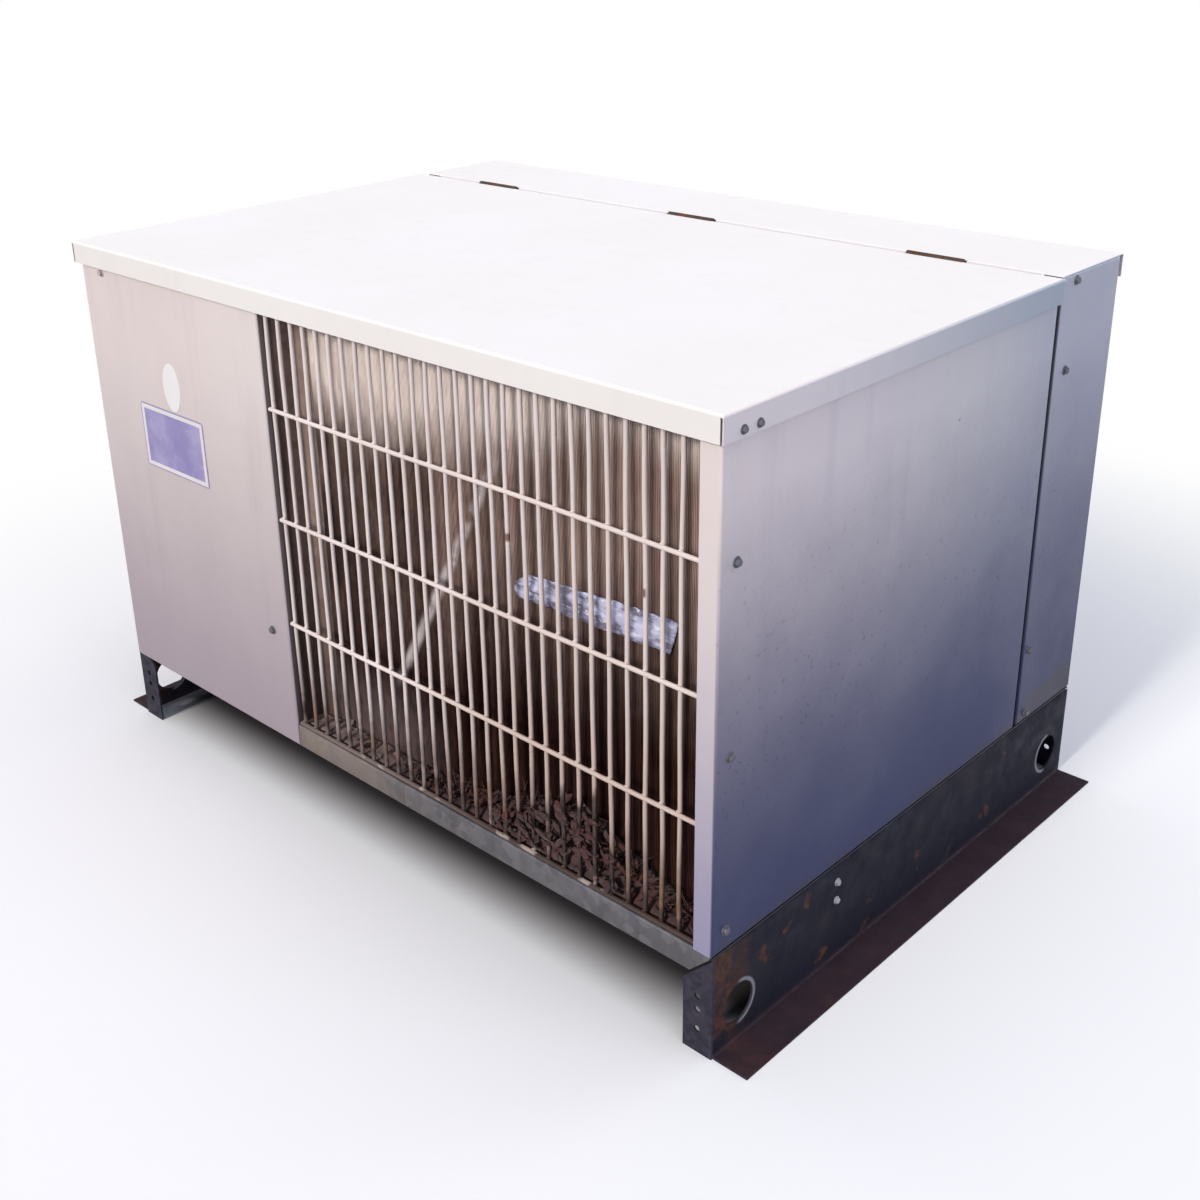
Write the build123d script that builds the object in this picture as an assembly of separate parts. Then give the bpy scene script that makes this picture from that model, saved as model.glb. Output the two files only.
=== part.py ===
"""Air-cooled condensing unit in a sheet-metal cabinet: coil behind a wire guard, hinged lid, steel skids.

Millimetres. +X runs to the right along the front, +Y to the back, +Z up.
The origin is on the ground under the middle of the cabinet.
"""
from build123d import *
from math import cos, radians, sin
import os

# Cabinet
cabinet_width = 1070.0
cabinet_depth = 750.0
body_height = 607.0
skid_height = 100.0
base_lip = 30.0
sheet = 1.2
bend = 3.0
seat_gap = 0.5

# Base pan and skids
pan_sheet = 2.0
skid_sheet = 2.5
skid_bend = 5.0
skid_foot = 45.0
skid_end_flange = 38.0
skid_top_flange = 40.0
mitre_gap = 4.2
lifting_hole_r = 24.0
lifting_hole_inset = 46.0
lifting_hole_z = 48.0
flange_hole_r = 4.0
flange_hole_levels = (30.0, 55.0, 72.0)

# Panels
left_panel_width = 388.0
left_panel_depth = 20.0
post_width = 24.0

# Lid, rear top strip and hinges
lid_lip = 28.0
lid_clearance = 5.3
lid_corner_slit = 2.5
rear_strip_depth = 144.0
seam_gap = 6.0
seam_flange = 10.0
seam_flange_inset = 4.0
hinge_length = 76.0
hinge_spacing = 373.0
hinge_count = 3
knuckle_count = 3
knuckle_r = 4.5
knuckle_gap = 0.4
hinge_axis_drop = 2.0
hinge_leaf = 28.0
hinge_leaf_sheet = 2.0
hinge_notch_room = 2.5
hinge_notch_side = 2.0
leaf_to_knuckle = 0.6
pin_r = 2.2
pin_clearance = 0.1

# Wire guards
wire_d = 5.2
weld_sink = 0.9
guard_pitch = 23.2
guard_first_inset = 6.0
guard_last_room = 4.4
guard_rows = 3
guard_row_pitch = 141.0
guard_first_row = 147.0
guard_set_back = 8.8
guard_top_drop = 14.0
guard_post_cover = 11.0

# Coil
coil_depth = 44.0
coil_behind_front = 45.0
coil_bend_room = 3.0
coil_top_drop = 25.0
fin_width = 3.0
fin_pitch = 12.0
fin_proud = 2.5
end_plate_sheet = 1.5
end_plate_gap = 1.8
tube_d = 12.7
tube_pitch = 40.0
tube_sides = 6
bend_stub = 3.0

# Fan, shroud and motor
shroud_depth = 96.0
orifice_margin = 36.0
orifice_ring = 26.0
fan_tip_gap = 12.0
fan_blades = 4
blade_sheet = 2.4
blade_root_width = 92.0
blade_tip_width = 150.0
blade_root_pitch = 38.0
blade_tip_pitch = 24.0
blade_root_sink = 11.4
hub_r = 38.0
hub_length = 34.0
shaft_r = 6.35
shaft_clearance = 0.1
motor_r = 70.0
motor_length = 130.0
motor_bell = 21.0
motor_nose_r = 38.5
motor_tail_r = 56.0
motor_gap = 14.0
strap_width = 30.0
strap_sheet = 3.0
strap_spread = 46.0
strap_edge_room = 7.0
strap_foot = 26.0

# Compressor bay
partition_foot = 20.0
partition_drop = 25.0
compressor_from_partition = 153.0
compressor_y = -50.0
compressor_r = 92.0
compressor_height = 330.0
compressor_dome = 58.0
compressor_foot_half = 98.0
compressor_foot_sheet = 5.0
compressor_sink = 12.0
grommet_r = 15.0
grommet_height = 18.0
grommet_inset = 20.0
boss_r = 11.0
boss_height = 22.0
discharge_offset = 46.0
receiver_from_side = 95.0
receiver_from_back = 140.0
receiver_r = 64.0
receiver_height = 360.0
receiver_dome = 38.0
receiver_skirt_r = 46.0
receiver_lift = 7.0
receiver_inlet_level = 120.0
control_box_size = (118.0, 220.0, 150.0)
control_box_front = 50.0
control_box_top_drop = 50.0
discharge_r = 8.0
liquid_r = 6.35
pipe_bend = 26.0
pipe_sides = 8
dome_bands = 3
pipe_hole_room = 4.0
liquid_run_room = 31.0
edge_round = 4.0

# Levels and planes worked out from the sizes above
half_width = cabinet_width / 2
front = -cabinet_depth / 2
back = cabinet_depth / 2
floor_top = skid_height + base_lip
floor_under = floor_top - pan_sheet
top = skid_height + body_height
top_under = top - sheet
base_front = front + sheet + seat_gap
base_back = -base_front
seam_y = back - rear_strip_depth
panel_edge_x = -half_width + left_panel_width
post_edge_x = half_width - post_width
lid_overhang = lid_clearance + sheet
hinge_axis_z = top - hinge_axis_drop
hinge_centres = [(i - (hinge_count - 1) / 2) * hinge_spacing for i in range(hinge_count)]
bend_reach = end_plate_sheet + bend_stub + tube_pitch / 2 + tube_d / 2 + coil_bend_room
end_plate_flange = bend_reach - end_plate_gap
coil_left = panel_edge_x + bend_reach
coil_right = half_width - sheet - bend_reach
coil_front = front + coil_behind_front
coil_back = coil_front + coil_depth
coil_mid_y = (coil_front + coil_back) / 2
coil_top = top - coil_top_drop
coil_base = floor_top + sheet
orifice_y = coil_back + shroud_depth
fan_x = (coil_left + coil_right) / 2
fan_z = (floor_top + coil_top) / 2
orifice_r = min(coil_right - coil_left, coil_top - floor_top) / 2 - orifice_margin
fan_r = orifice_r - fan_tip_gap
strap_reach = (coil_right - coil_left) / 2 - strap_edge_room - strap_foot
tube_count = 2 * int((coil_top - coil_base) / (2 * tube_pitch))
first_tube_z = fan_z - (tube_count - 1) / 2 * tube_pitch
last_tube_z = fan_z + (tube_count - 1) / 2 * tube_pitch
compressor_x = panel_edge_x - compressor_from_partition
receiver_x = receiver_from_side - half_width
receiver_y = back - receiver_from_back
liquid_run_x = panel_edge_x - liquid_run_room


def span(x_range, y_range, z_range):
    """A block between the given limits."""
    size = [limits[1] - limits[0] for limits in (x_range, y_range, z_range)]
    middle = [sum(limits) / 2 for limits in (x_range, y_range, z_range)]
    return Pos(*middle) * Box(*size)


def tray(x_range, y_range, z_range, open_side, thickness=sheet):
    """A folded sheet tray: rounded show edges, flanges all round, open on one side such as '+X'."""
    axis = {"X": Axis.X, "Y": Axis.Y, "Z": Axis.Z}[open_side[1]]
    opening = -1 if open_side[0] == "+" else 0
    body = span(x_range, y_range, z_range)
    show_face = body.faces().sort_by(axis)[-1 - opening]
    body = fillet(show_face.edges(), bend)
    return offset(body, amount=-thickness, openings=body.faces().sort_by(axis)[opening])


def bent_sheet(points, thickness, radius, side):
    """The cross-section of a sheet bent along a line, with its thickness on one side of that line."""
    line = FilletPolyline(*points, radius=radius)
    return make_face(offset(line, thickness, side=side, kind=Kind.ARC))


def along_x(face, x_range):
    """A profile drawn in Y and Z, drawn out along X."""
    return extrude(Plane.YZ.offset(x_range[0]) * face, x_range[1] - x_range[0])


def along_y(face, y_range):
    """A profile drawn in X and Z, drawn out along Y."""
    return extrude(Plane.XZ.offset(-y_range[1]) * face, y_range[1] - y_range[0])


def rod(start, end, radius):
    """A round bar between two points."""
    line = Edge.make_line(start, end)
    return extrude(Plane(origin=start, z_dir=line % 0) * Circle(radius), line.length)


def pipe(points, radius, corner):
    """A tube run through points with one corner radius, as a closed solid."""
    path = FilletPolyline(*points, radius=corner)
    return sweep(Plane(origin=path @ 0, z_dir=path % 0) * RegularPolygon(radius, pipe_sides), path=path)


def base_pan():
    """The floor with its front and rear lips, whose ends are cut at 45 degrees."""
    outline = [(base_front, skid_height), (base_front, floor_top),
               (base_back, floor_top), (base_back, skid_height)]
    pan = along_x(bent_sheet(outline, pan_sheet, bend, Side.RIGHT), (-half_width, half_width))
    for sign in (1, -1):
        corner = [(sign * half_width, floor_top), (sign * half_width, skid_height),
                  (sign * (half_width - base_lip), skid_height)]
        cut = make_face(Polyline(*corner, close=True))
        for lip in ((base_front, base_front + pan_sheet), (base_back - pan_sheet, base_back)):
            pan -= along_y(cut, lip)
    return pan


def skid(sign):
    """An end skid: Z-shaped channel with mitred end flanges and lifting holes."""
    inner = half_width - skid_sheet
    outline = [(half_width - skid_top_flange, floor_under - skid_sheet), (inner, floor_under - skid_sheet),
               (inner, 0), (half_width + skid_foot, 0)]
    channel = bent_sheet(outline, skid_sheet, skid_bend, Side.LEFT)
    rail = along_y(channel, (base_front + skid_sheet, base_back - skid_sheet))
    mitre_top = floor_top - mitre_gap
    flange_inner = half_width - skid_end_flange
    flange = make_face(Polyline((half_width, 0), (half_width, mitre_top),
                                (flange_inner, mitre_top - skid_end_flange), (flange_inner, 0), close=True))
    flange_mid = half_width - skid_end_flange / 2
    flange -= [Pos(flange_mid, level) * Circle(flange_hole_r) for level in flange_hole_levels]
    rail += along_y(flange, (base_front, base_front + skid_sheet))
    rail += along_y(flange, (base_back - skid_sheet, base_back))
    relief_z = (floor_under - bend + pan_sheet - seat_gap, floor_under)
    for end in (1, -1):
        relief_y = sorted((end * base_back, end * (base_back - pan_sheet - bend)))
        rail -= span((half_width - skid_top_flange, half_width), relief_y, relief_z)
        hole_y = end * (cabinet_depth / 2 - lifting_hole_inset)
        rail -= rod((inner - skid_sheet, hole_y, lifting_hole_z),
                    (half_width + skid_sheet, hole_y, lifting_hole_z), lifting_hole_r)
    return rail if sign > 0 else mirror(rail, about=Plane.YZ)


def bay_panel(sign):
    """The plain panel in front of the bay (sign -1), or behind it (+1); its skin hangs over the base lip."""
    near, far = sorted((sign * cabinet_depth / 2, sign * (cabinet_depth / 2 - left_panel_depth)))
    panel_top = top_under - (seat_gap if sign < 0 else 0)
    open_side = "+Y" if sign < 0 else "-Y"
    panel = tray((-half_width, panel_edge_x), (near, far), (skid_height, panel_top), open_side)
    skin = sign * (cabinet_depth / 2 - sheet)
    inside = sorted((skin, skin - sign * left_panel_depth))
    return panel - span((-half_width, panel_edge_x), inside, (skid_height, floor_top))


def side_panel(sign):
    """An end panel from the front to the seam; the right one turns the front corner."""
    x_range = sorted((sign * half_width, sign * post_edge_x))
    start = front if sign > 0 else front + left_panel_depth + seat_gap
    y_range = (start, seam_y - seam_gap / 2)
    return tray(x_range, y_range, (floor_top, top_under - seat_gap), "-X" if sign > 0 else "+X")


def rear_corner(sign):
    """The end panel behind the seam; the right one turns the rear corner."""
    x_range = sorted((sign * half_width, sign * post_edge_x))
    end = back if sign > 0 else back - left_panel_depth - seat_gap
    y_range = (seam_y + seam_gap / 2, end)
    return tray(x_range, y_range, (floor_top, top_under), "-X" if sign > 0 else "+X")


def hinge_notches():
    """Room for the hinge barrels in the edges of the lid and the rear strip."""
    half = hinge_length / 2 + hinge_notch_side
    reach = knuckle_r + hinge_notch_room
    return [span((x - half, x + half), (seam_y - reach, seam_y + reach), (top - 2 * seam_flange, top + sheet))
            for x in hinge_centres]


def rear_top_strip():
    """The fixed strip of the roof behind the lid."""
    start = seam_y + seam_gap / 2
    end = back + lid_overhang
    outline = [(start, top - seam_flange), (start, top), (end, top), (end, top - lid_lip)]
    strip = along_x(bent_sheet(outline, sheet, bend, Side.RIGHT), (-half_width, half_width))
    clear_x = post_edge_x - seam_flange_inset
    for x_range in ((-half_width, -clear_x), (clear_x, half_width)):
        strip -= span(x_range, (start, start + bend), (top - seam_flange, top_under))
    return strip - hinge_notches()


def lid():
    """The hinged lid: a shallow tray turned down over the panels, with a short flange at the seam."""
    edge = half_width + lid_overhang
    end = seam_y - seam_gap / 2
    cover = tray((-edge, edge), (front - lid_overhang, end), (top - lid_lip, top), "-Z")
    cover -= span((-edge, edge), (end - bend, end), (top - lid_lip, top - seam_flange))
    clear_x = post_edge_x - seam_flange_inset
    for sign in (1, -1):
        x_range = sorted((sign * clear_x, sign * (edge - sheet)))
        cover -= span(x_range, (end - bend, end), (top - lid_lip, top_under))
        slit_x = sorted((sign * (edge - sheet), sign * (edge - sheet - lid_corner_slit)))
        slit_y = (front - lid_overhang, front - lid_clearance)
        cover -= span(slit_x, slit_y, (top - lid_lip, top - bend))
    return cover - hinge_notches()


def hinge_leaf_set(sign):
    """Three hinge leaves with their share of the knuckles: sign -1 for the lid's, +1 for the fixed ones."""
    segment = hinge_length / knuckle_count
    leaf_z = (top_under - hinge_leaf_sheet, top_under)
    leaves = []
    for x in hinge_centres:
        outer = sorted((seam_y + sign * (knuckle_r + leaf_to_knuckle), seam_y + sign * hinge_leaf))
        leaf = span((x - hinge_length / 2, x + hinge_length / 2), outer, leaf_z)
        for i in range(knuckle_count):
            if (i % 2 == 0) != (sign > 0):
                continue
            x0 = x - hinge_length / 2 + i * segment + knuckle_gap / 2
            x1 = x0 + segment - knuckle_gap
            reach = sorted((seam_y, seam_y + sign * (knuckle_r + leaf_to_knuckle)))
            leaf += span((x0, x1), reach, leaf_z)
            leaf += rod((x0, seam_y, hinge_axis_z), (x1, seam_y, hinge_axis_z), knuckle_r)
        bore = rod((x - hinge_length, seam_y, hinge_axis_z), (x + hinge_length, seam_y, hinge_axis_z),
                   pin_r + pin_clearance)
        leaves.append(leaf - bore)
    return Compound(children=[solid for leaf in leaves for solid in leaf.solids()])


def hinge_pins():
    """The three hinge pins."""
    half = hinge_length / 2
    return Compound(children=[rod((x - half, seam_y, hinge_axis_z), (x + half, seam_y, hinge_axis_z), pin_r)
                              for x in hinge_centres])


def wire_guard(sign):
    """A welded guard: upright wires with a few rows across their outer side, and a border at the post."""
    wire_r = wire_d / 2
    wire = Rectangle(wire_d, wire_d)
    upright_y = sign * (cabinet_depth / 2 - guard_set_back)
    row_y = upright_y + sign * (wire_d - weld_sink)
    bottom = floor_top + sheet + seat_gap + wire_r
    guard_top = top - guard_top_drop
    first_x = panel_edge_x + guard_first_inset
    last_x = post_edge_x + guard_post_cover
    count = int((post_edge_x - guard_last_room - first_x) / guard_pitch) + 1
    uprights = [first_x + i * guard_pitch for i in range(count)] + [last_x]
    rows = [floor_top + guard_first_row + i * guard_row_pitch for i in range(guard_rows)]
    rows = [bottom, *rows, guard_top]
    row_half = (last_x - first_x) / 2 + wire_r
    row_mid = (last_x + first_x) / 2
    bars = [Pos(row_mid - row_half, row_y, z) * extrude(Plane.YZ * wire, 2 * row_half) for z in rows]
    height = guard_top - bottom + wire_d
    bars += [Pos(x, upright_y, bottom - wire_r) * extrude(wire, height) for x in uprights]
    return bars[0].fuse(*bars[1:])


def fin_pack():
    """The finned block of the coil: one mass, with its main fins standing proud at the front and the back."""
    width = coil_right - coil_left
    gaps = int((width - fin_width) / fin_pitch)
    fins = GridLocations((width - fin_width) / gaps, 0, gaps + 1, 1) * Rectangle(fin_width, coil_depth)
    section = Rectangle(width, coil_depth - 2 * fin_proud) + fins
    return Pos(fan_x, coil_mid_y, coil_base) * extrude(section, coil_top - coil_base)


def coil_end_plate(sign):
    """A channel-shaped plate that stands on the floor and holds the tube ends."""
    face_x = coil_right if sign > 0 else coil_left
    tip_x = face_x + sign * end_plate_flange
    outline = [(tip_x, coil_front), (face_x, coil_front), (face_x, coil_back), (tip_x, coil_back)]
    side = Side.RIGHT if sign > 0 else Side.LEFT
    plate = bent_sheet(outline, end_plate_sheet, bend, side)
    return Pos(0, 0, coil_base) * extrude(plate, coil_top - coil_base)


def return_bends(sign):
    """The hairpin bends that join the tubes in pairs at one end of the coil."""
    start_x = (coil_right if sign > 0 else coil_left) + sign * end_plate_sheet
    radius = tube_pitch / 2
    far_x = start_x + sign * bend_stub
    section = Plane.YZ * RegularPolygon(tube_d / 2, tube_sides)
    first = 0 if sign > 0 else 1
    bends = []
    for i in range(first, tube_count - 1, 2):
        low = first_tube_z + i * tube_pitch
        high = low + tube_pitch
        tip = (far_x + sign * radius, coil_mid_y, (low + high) / 2)
        path = Wire([Edge.make_line((start_x, coil_mid_y, low), (far_x, coil_mid_y, low)),
                     Edge.make_three_point_arc((far_x, coil_mid_y, low), tip, (far_x, coil_mid_y, high)),
                     Edge.make_line((far_x, coil_mid_y, high), (start_x, coil_mid_y, high))])
        bends.append(sweep(Pos(start_x, coil_mid_y, low) * section, path=path))
    return Compound(children=bends)


def fan_shroud():
    """The box that leads the air from the coil to a round orifice with a rolled ring."""
    box = tray((coil_left, coil_right), (coil_back, orifice_y), (floor_top, coil_top), "-Y")
    centre = (fan_x, orifice_y - bend, fan_z)
    ring_end = (fan_x, orifice_y + orifice_ring, fan_z)
    box += rod((fan_x, orifice_y - sheet, fan_z), ring_end, orifice_r + sheet)
    return box - rod(centre, ring_end, orifice_r)


def fan():
    """A hub with twisted sheet blades, trimmed to the fan's radius."""
    hub_back = orifice_y + hub_length / 2
    hub_front = orifice_y - hub_length / 2
    rotor = rod((fan_x, hub_front, fan_z), (fan_x, hub_back, fan_z), hub_r)
    root = Plane.XY.offset(hub_r - blade_root_sink) * Rot(0, 0, blade_root_pitch)
    root = root * Rectangle(blade_root_width, blade_sheet)
    tip = Plane.XY.offset(fan_r + blade_sheet) * Rot(0, 0, blade_tip_pitch)
    tip = tip * Rectangle(blade_tip_width, blade_sheet)
    blade = loft([root, tip])
    swept = rod((0, -fan_r, 0), (0, fan_r, 0), fan_r)
    blade = blade & swept
    for i in range(fan_blades):
        rotor += Pos(fan_x, orifice_y, fan_z) * Rot(0, i * 360 / fan_blades, 0) * blade
    bore_r = shaft_r + shaft_clearance
    return rotor - rod((fan_x, hub_front - hub_length, fan_z), (fan_x, hub_back + hub_length, fan_z), bore_r)


def motor_front():
    """Where the motor's end bell faces the fan."""
    return orifice_y + hub_length / 2 + motor_gap


def fan_motor():
    """The motor body with domed end bells and its shaft through the fan hub."""
    start = motor_front()
    shaft_end = orifice_y - hub_length / 2
    profile = Polyline((0, shaft_end), (shaft_r, shaft_end), (shaft_r, start), (motor_nose_r, start),
                       (motor_r, start + motor_bell), (motor_r, start + motor_length - motor_bell),
                       (motor_tail_r, start + motor_length), (0, start + motor_length), close=True)
    body = revolve(make_face(profile), Axis.Y)
    return Pos(fan_x, 0, fan_z) * body


def motor_straps():
    """Two bent straps from the orifice plate round the back of the motor."""
    foot_y = orifice_y
    cross_y = motor_front() + motor_length
    outline = [(-strap_reach - strap_foot, foot_y), (-strap_reach, foot_y), (-strap_reach, cross_y),
               (strap_reach, cross_y), (strap_reach, foot_y), (strap_reach + strap_foot, foot_y)]
    section = bent_sheet(outline, strap_sheet, bend, Side.LEFT)
    straps = []
    for sign in (1, -1):
        low = fan_z + sign * strap_spread - strap_width / 2
        straps.append(Pos(fan_x, 0, low) * extrude(section, strap_width))
    return Compound(children=straps)


def partition():
    """The wall between the air section and the bay, with a foot on the floor and two pipe holes."""
    y_range = (front + left_panel_depth + seat_gap, back - left_panel_depth - seat_gap)
    outline = [(panel_edge_x - partition_foot, floor_top), (panel_edge_x, floor_top),
               (panel_edge_x, top - partition_drop)]
    wall = along_y(bent_sheet(outline, sheet, bend, Side.LEFT), y_range)
    for level, radius in ((last_tube_z, discharge_r), (first_tube_z, liquid_r)):
        wall -= rod((panel_edge_x - bend, coil_mid_y, level), (panel_edge_x + bend, coil_mid_y, level),
                    radius + pipe_hole_room)
    return wall


def domed_vessel(radius, low, high, dome):
    """A closed round shell on the Z axis; each end is an oval dome of a few straight bands."""
    turns = [radians(90 * i / dome_bands) for i in range(dome_bands)]
    upper = [(radius * cos(turn), high - dome + dome * sin(turn)) for turn in turns]
    lower = [(radius * cos(turn), low + dome - dome * sin(turn)) for turn in reversed(turns)]
    side = Polyline((0, low), *lower, *upper, (0, high), close=True)
    return revolve(Plane.XZ * make_face(side), Axis.Z)


def compressor():
    """A welded shell with domed ends on a foot plate, with a discharge stub on its shoulder."""
    foot_z = floor_top + grommet_height
    shell_z = foot_z + compressor_foot_sheet
    half = compressor_foot_half
    plate = span((-half, half), (-half, half), (foot_z, shell_z))
    plate = fillet(plate.edges().filter_by(Axis.Z), grommet_r)
    shell = domed_vessel(compressor_r, foot_z - compressor_sink, shell_z + compressor_height, compressor_dome)
    stub_z = shell_z + compressor_height + boss_height
    stub = rod((discharge_offset, 0, stub_z - compressor_dome), (discharge_offset, 0, stub_z), boss_r)
    return Pos(compressor_x, compressor_y, 0) * (plate + shell + stub)


def compressor_grommets():
    """Rubber grommets under the corners of the compressor's foot plate."""
    inset = compressor_foot_half - grommet_inset
    grommet = rod((0, 0, floor_top), (0, 0, floor_top + grommet_height), grommet_r)
    return Compound(children=[Pos(compressor_x + i * inset, compressor_y + j * inset, 0) * grommet
                              for i in (1, -1) for j in (1, -1)])


def receiver():
    """The liquid receiver: an upright vessel on a skirt, with an inlet stub towards the partition."""
    low = floor_top + receiver_lift
    skirt = rod((0, 0, floor_top), (0, 0, low + receiver_dome), receiver_skirt_r)
    skirt -= rod((0, 0, floor_top), (0, 0, low), receiver_skirt_r - skid_sheet)
    vessel = domed_vessel(receiver_r, low, low + receiver_height, receiver_dome)
    level = floor_top + receiver_inlet_level
    stub = rod((0, 0, level), (receiver_r + boss_height, 0, level), boss_r)
    return Pos(receiver_x, receiver_y, 0) * (vessel + skirt + stub)


def control_box():
    """The closed electrical box on the inside of the left end panel."""
    deep, wide, tall = control_box_size
    left = -half_width + sheet
    start = front + left_panel_depth + control_box_front
    high = top - control_box_top_drop
    box = span((left, left + deep), (start, start + wide), (high - tall, high))
    return fillet(box.faces().sort_by(Axis.X)[-1].edges(), edge_round)


def discharge_line():
    """The hot gas line from the compressor's stub to the coil's top tube."""
    rise_x = compressor_x + discharge_offset
    stub_z = floor_top + grommet_height + compressor_foot_sheet + compressor_height + boss_height
    points = [(rise_x, compressor_y, stub_z), (rise_x, compressor_y, last_tube_z),
              (rise_x, coil_mid_y, last_tube_z), (coil_left - end_plate_sheet, coil_mid_y, last_tube_z)]
    return pipe(points, discharge_r, pipe_bend)


def liquid_line():
    """The liquid line from the coil's bottom tube to the receiver's stub."""
    level = floor_top + receiver_inlet_level
    points = [(coil_left - end_plate_sheet, coil_mid_y, first_tube_z),
              (liquid_run_x, coil_mid_y, first_tube_z),
              (liquid_run_x, receiver_y, first_tube_z), (liquid_run_x, receiver_y, level),
              (receiver_x + receiver_r + boss_height, receiver_y, level)]
    return pipe(points, liquid_r, pipe_bend)


def main():
    """Writes every sub-part."""
    os.makedirs("parts", exist_ok=True)
    nodes = {
        "base_pan": base_pan(),
        "left_skid": skid(-1),
        "right_skid": skid(1),
        "front_left_panel": bay_panel(-1),
        "rear_left_panel": bay_panel(1),
        "left_side_panel": side_panel(-1),
        "right_side_panel": side_panel(1),
        "rear_left_corner": rear_corner(-1),
        "rear_right_corner": rear_corner(1),
        "rear_top_strip": rear_top_strip(),
        "lid": lid(),
        "hinge_fixed_leaves": hinge_leaf_set(1),
        "hinge_lid_leaves": hinge_leaf_set(-1),
        "hinge_pins": hinge_pins(),
        "coil_guard": wire_guard(-1),
        "outlet_guard": wire_guard(1),
        "coil_fin_pack": fin_pack(),
        "coil_left_end_plate": coil_end_plate(-1),
        "coil_right_end_plate": coil_end_plate(1),
        "left_return_bends": return_bends(-1),
        "right_return_bends": return_bends(1),
        "fan_shroud": fan_shroud(),
        "fan": fan(),
        "fan_motor": fan_motor(),
        "motor_straps": motor_straps(),
        "partition": partition(),
        "compressor": compressor(),
        "compressor_grommets": compressor_grommets(),
        "receiver": receiver(),
        "control_box": control_box(),
        "discharge_line": discharge_line(),
        "liquid_line": liquid_line(),
    }
    for name, shape in nodes.items():
        export_step(shape, f"parts/{name}.step")


main()
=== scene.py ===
"""Looks of the air-cooled condenser: a weathered sheet-metal cabinet with a finned coil behind a wire guard.

Metres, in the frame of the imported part: +X to the right along the front, +Y to the back, +Z up.
"""
import math
import random

import bpy
from mathutils import Matrix, Vector, noise


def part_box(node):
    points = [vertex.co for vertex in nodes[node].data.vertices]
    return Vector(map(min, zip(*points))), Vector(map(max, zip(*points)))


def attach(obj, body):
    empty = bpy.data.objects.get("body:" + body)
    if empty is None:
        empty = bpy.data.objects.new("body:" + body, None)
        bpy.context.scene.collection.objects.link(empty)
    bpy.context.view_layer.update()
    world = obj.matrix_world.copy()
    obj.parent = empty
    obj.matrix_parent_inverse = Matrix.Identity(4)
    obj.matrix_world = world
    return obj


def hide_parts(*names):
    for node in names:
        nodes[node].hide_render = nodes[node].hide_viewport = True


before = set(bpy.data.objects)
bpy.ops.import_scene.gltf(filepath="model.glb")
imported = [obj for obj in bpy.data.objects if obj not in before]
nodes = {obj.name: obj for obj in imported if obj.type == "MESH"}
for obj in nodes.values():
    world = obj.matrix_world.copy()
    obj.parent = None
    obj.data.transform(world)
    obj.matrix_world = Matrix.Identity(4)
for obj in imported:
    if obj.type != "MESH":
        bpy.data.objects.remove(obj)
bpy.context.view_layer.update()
scene = bpy.context.scene
scene.view_settings.view_transform = "Standard"

# Places that the pieces share
FRONT = -0.375
BACK = 0.375
END = 0.535
FLOOR = 0.130
SEAM = 0.231
COIL_LOW, COIL_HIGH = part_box("coil_fin_pack")
BAY_EDGE = -0.147
WIRE_R = 0.0026
LID_LIP_END = 0.5415
PLATE_X, PLATE_Z = -0.3595, 0.4655
PLATE_HALF_X, PLATE_HALF_Z = 0.0715, 0.0445
BRUISE_SLOPE, BRUISE_START = 0.56, -0.119
WIRE_CHIPS = ((0.253, 0.507), (0.436, 0.503))
CLEAR_WIRE_X = 0.300
COMPRESSOR_X, COMPRESSOR_Y = -0.300, -0.050
RECEIVER_X, RECEIVER_Y = -0.440, 0.235
FAN_X, FAN_Z = 0.1934, 0.4061
STUB_OUT, STUB_TOP = 0.046, 0.505
INLET_OUT, INLET_Z = 0.086, 0.250
COIL_LEFT, COIL_RIGHT = -0.11465, 0.50145
TUBE_Y, TUBE_Z, TUBE_RISE, TUBE_R = -0.308, 0.186, 0.040, 0.00635
# Head radius, washer radius and height of the screws
SMALL_SCREW = (0.0036, 0.0048, 0.0034)
SKID_BOLT = (0.0036, 0.0047, 0.0036)
FULL_TURN, HALF_TURN = 6.28, 3.14


def band(row, sides):
    """Faces between the ring of points that starts at row and the ring after it."""
    faces = []
    for k in range(sides):
        nxt = (k + 1) % sides
        faces.append([row + k, row + nxt, row + sides + nxt, row + sides + k])
    return faces


def ring_points(sides):
    """The directions of a ring of points, as cosine and sine."""
    turns = [2 * math.pi * k / sides for k in range(sides)]
    return [(math.cos(turn), math.sin(turn)) for turn in turns]


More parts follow.
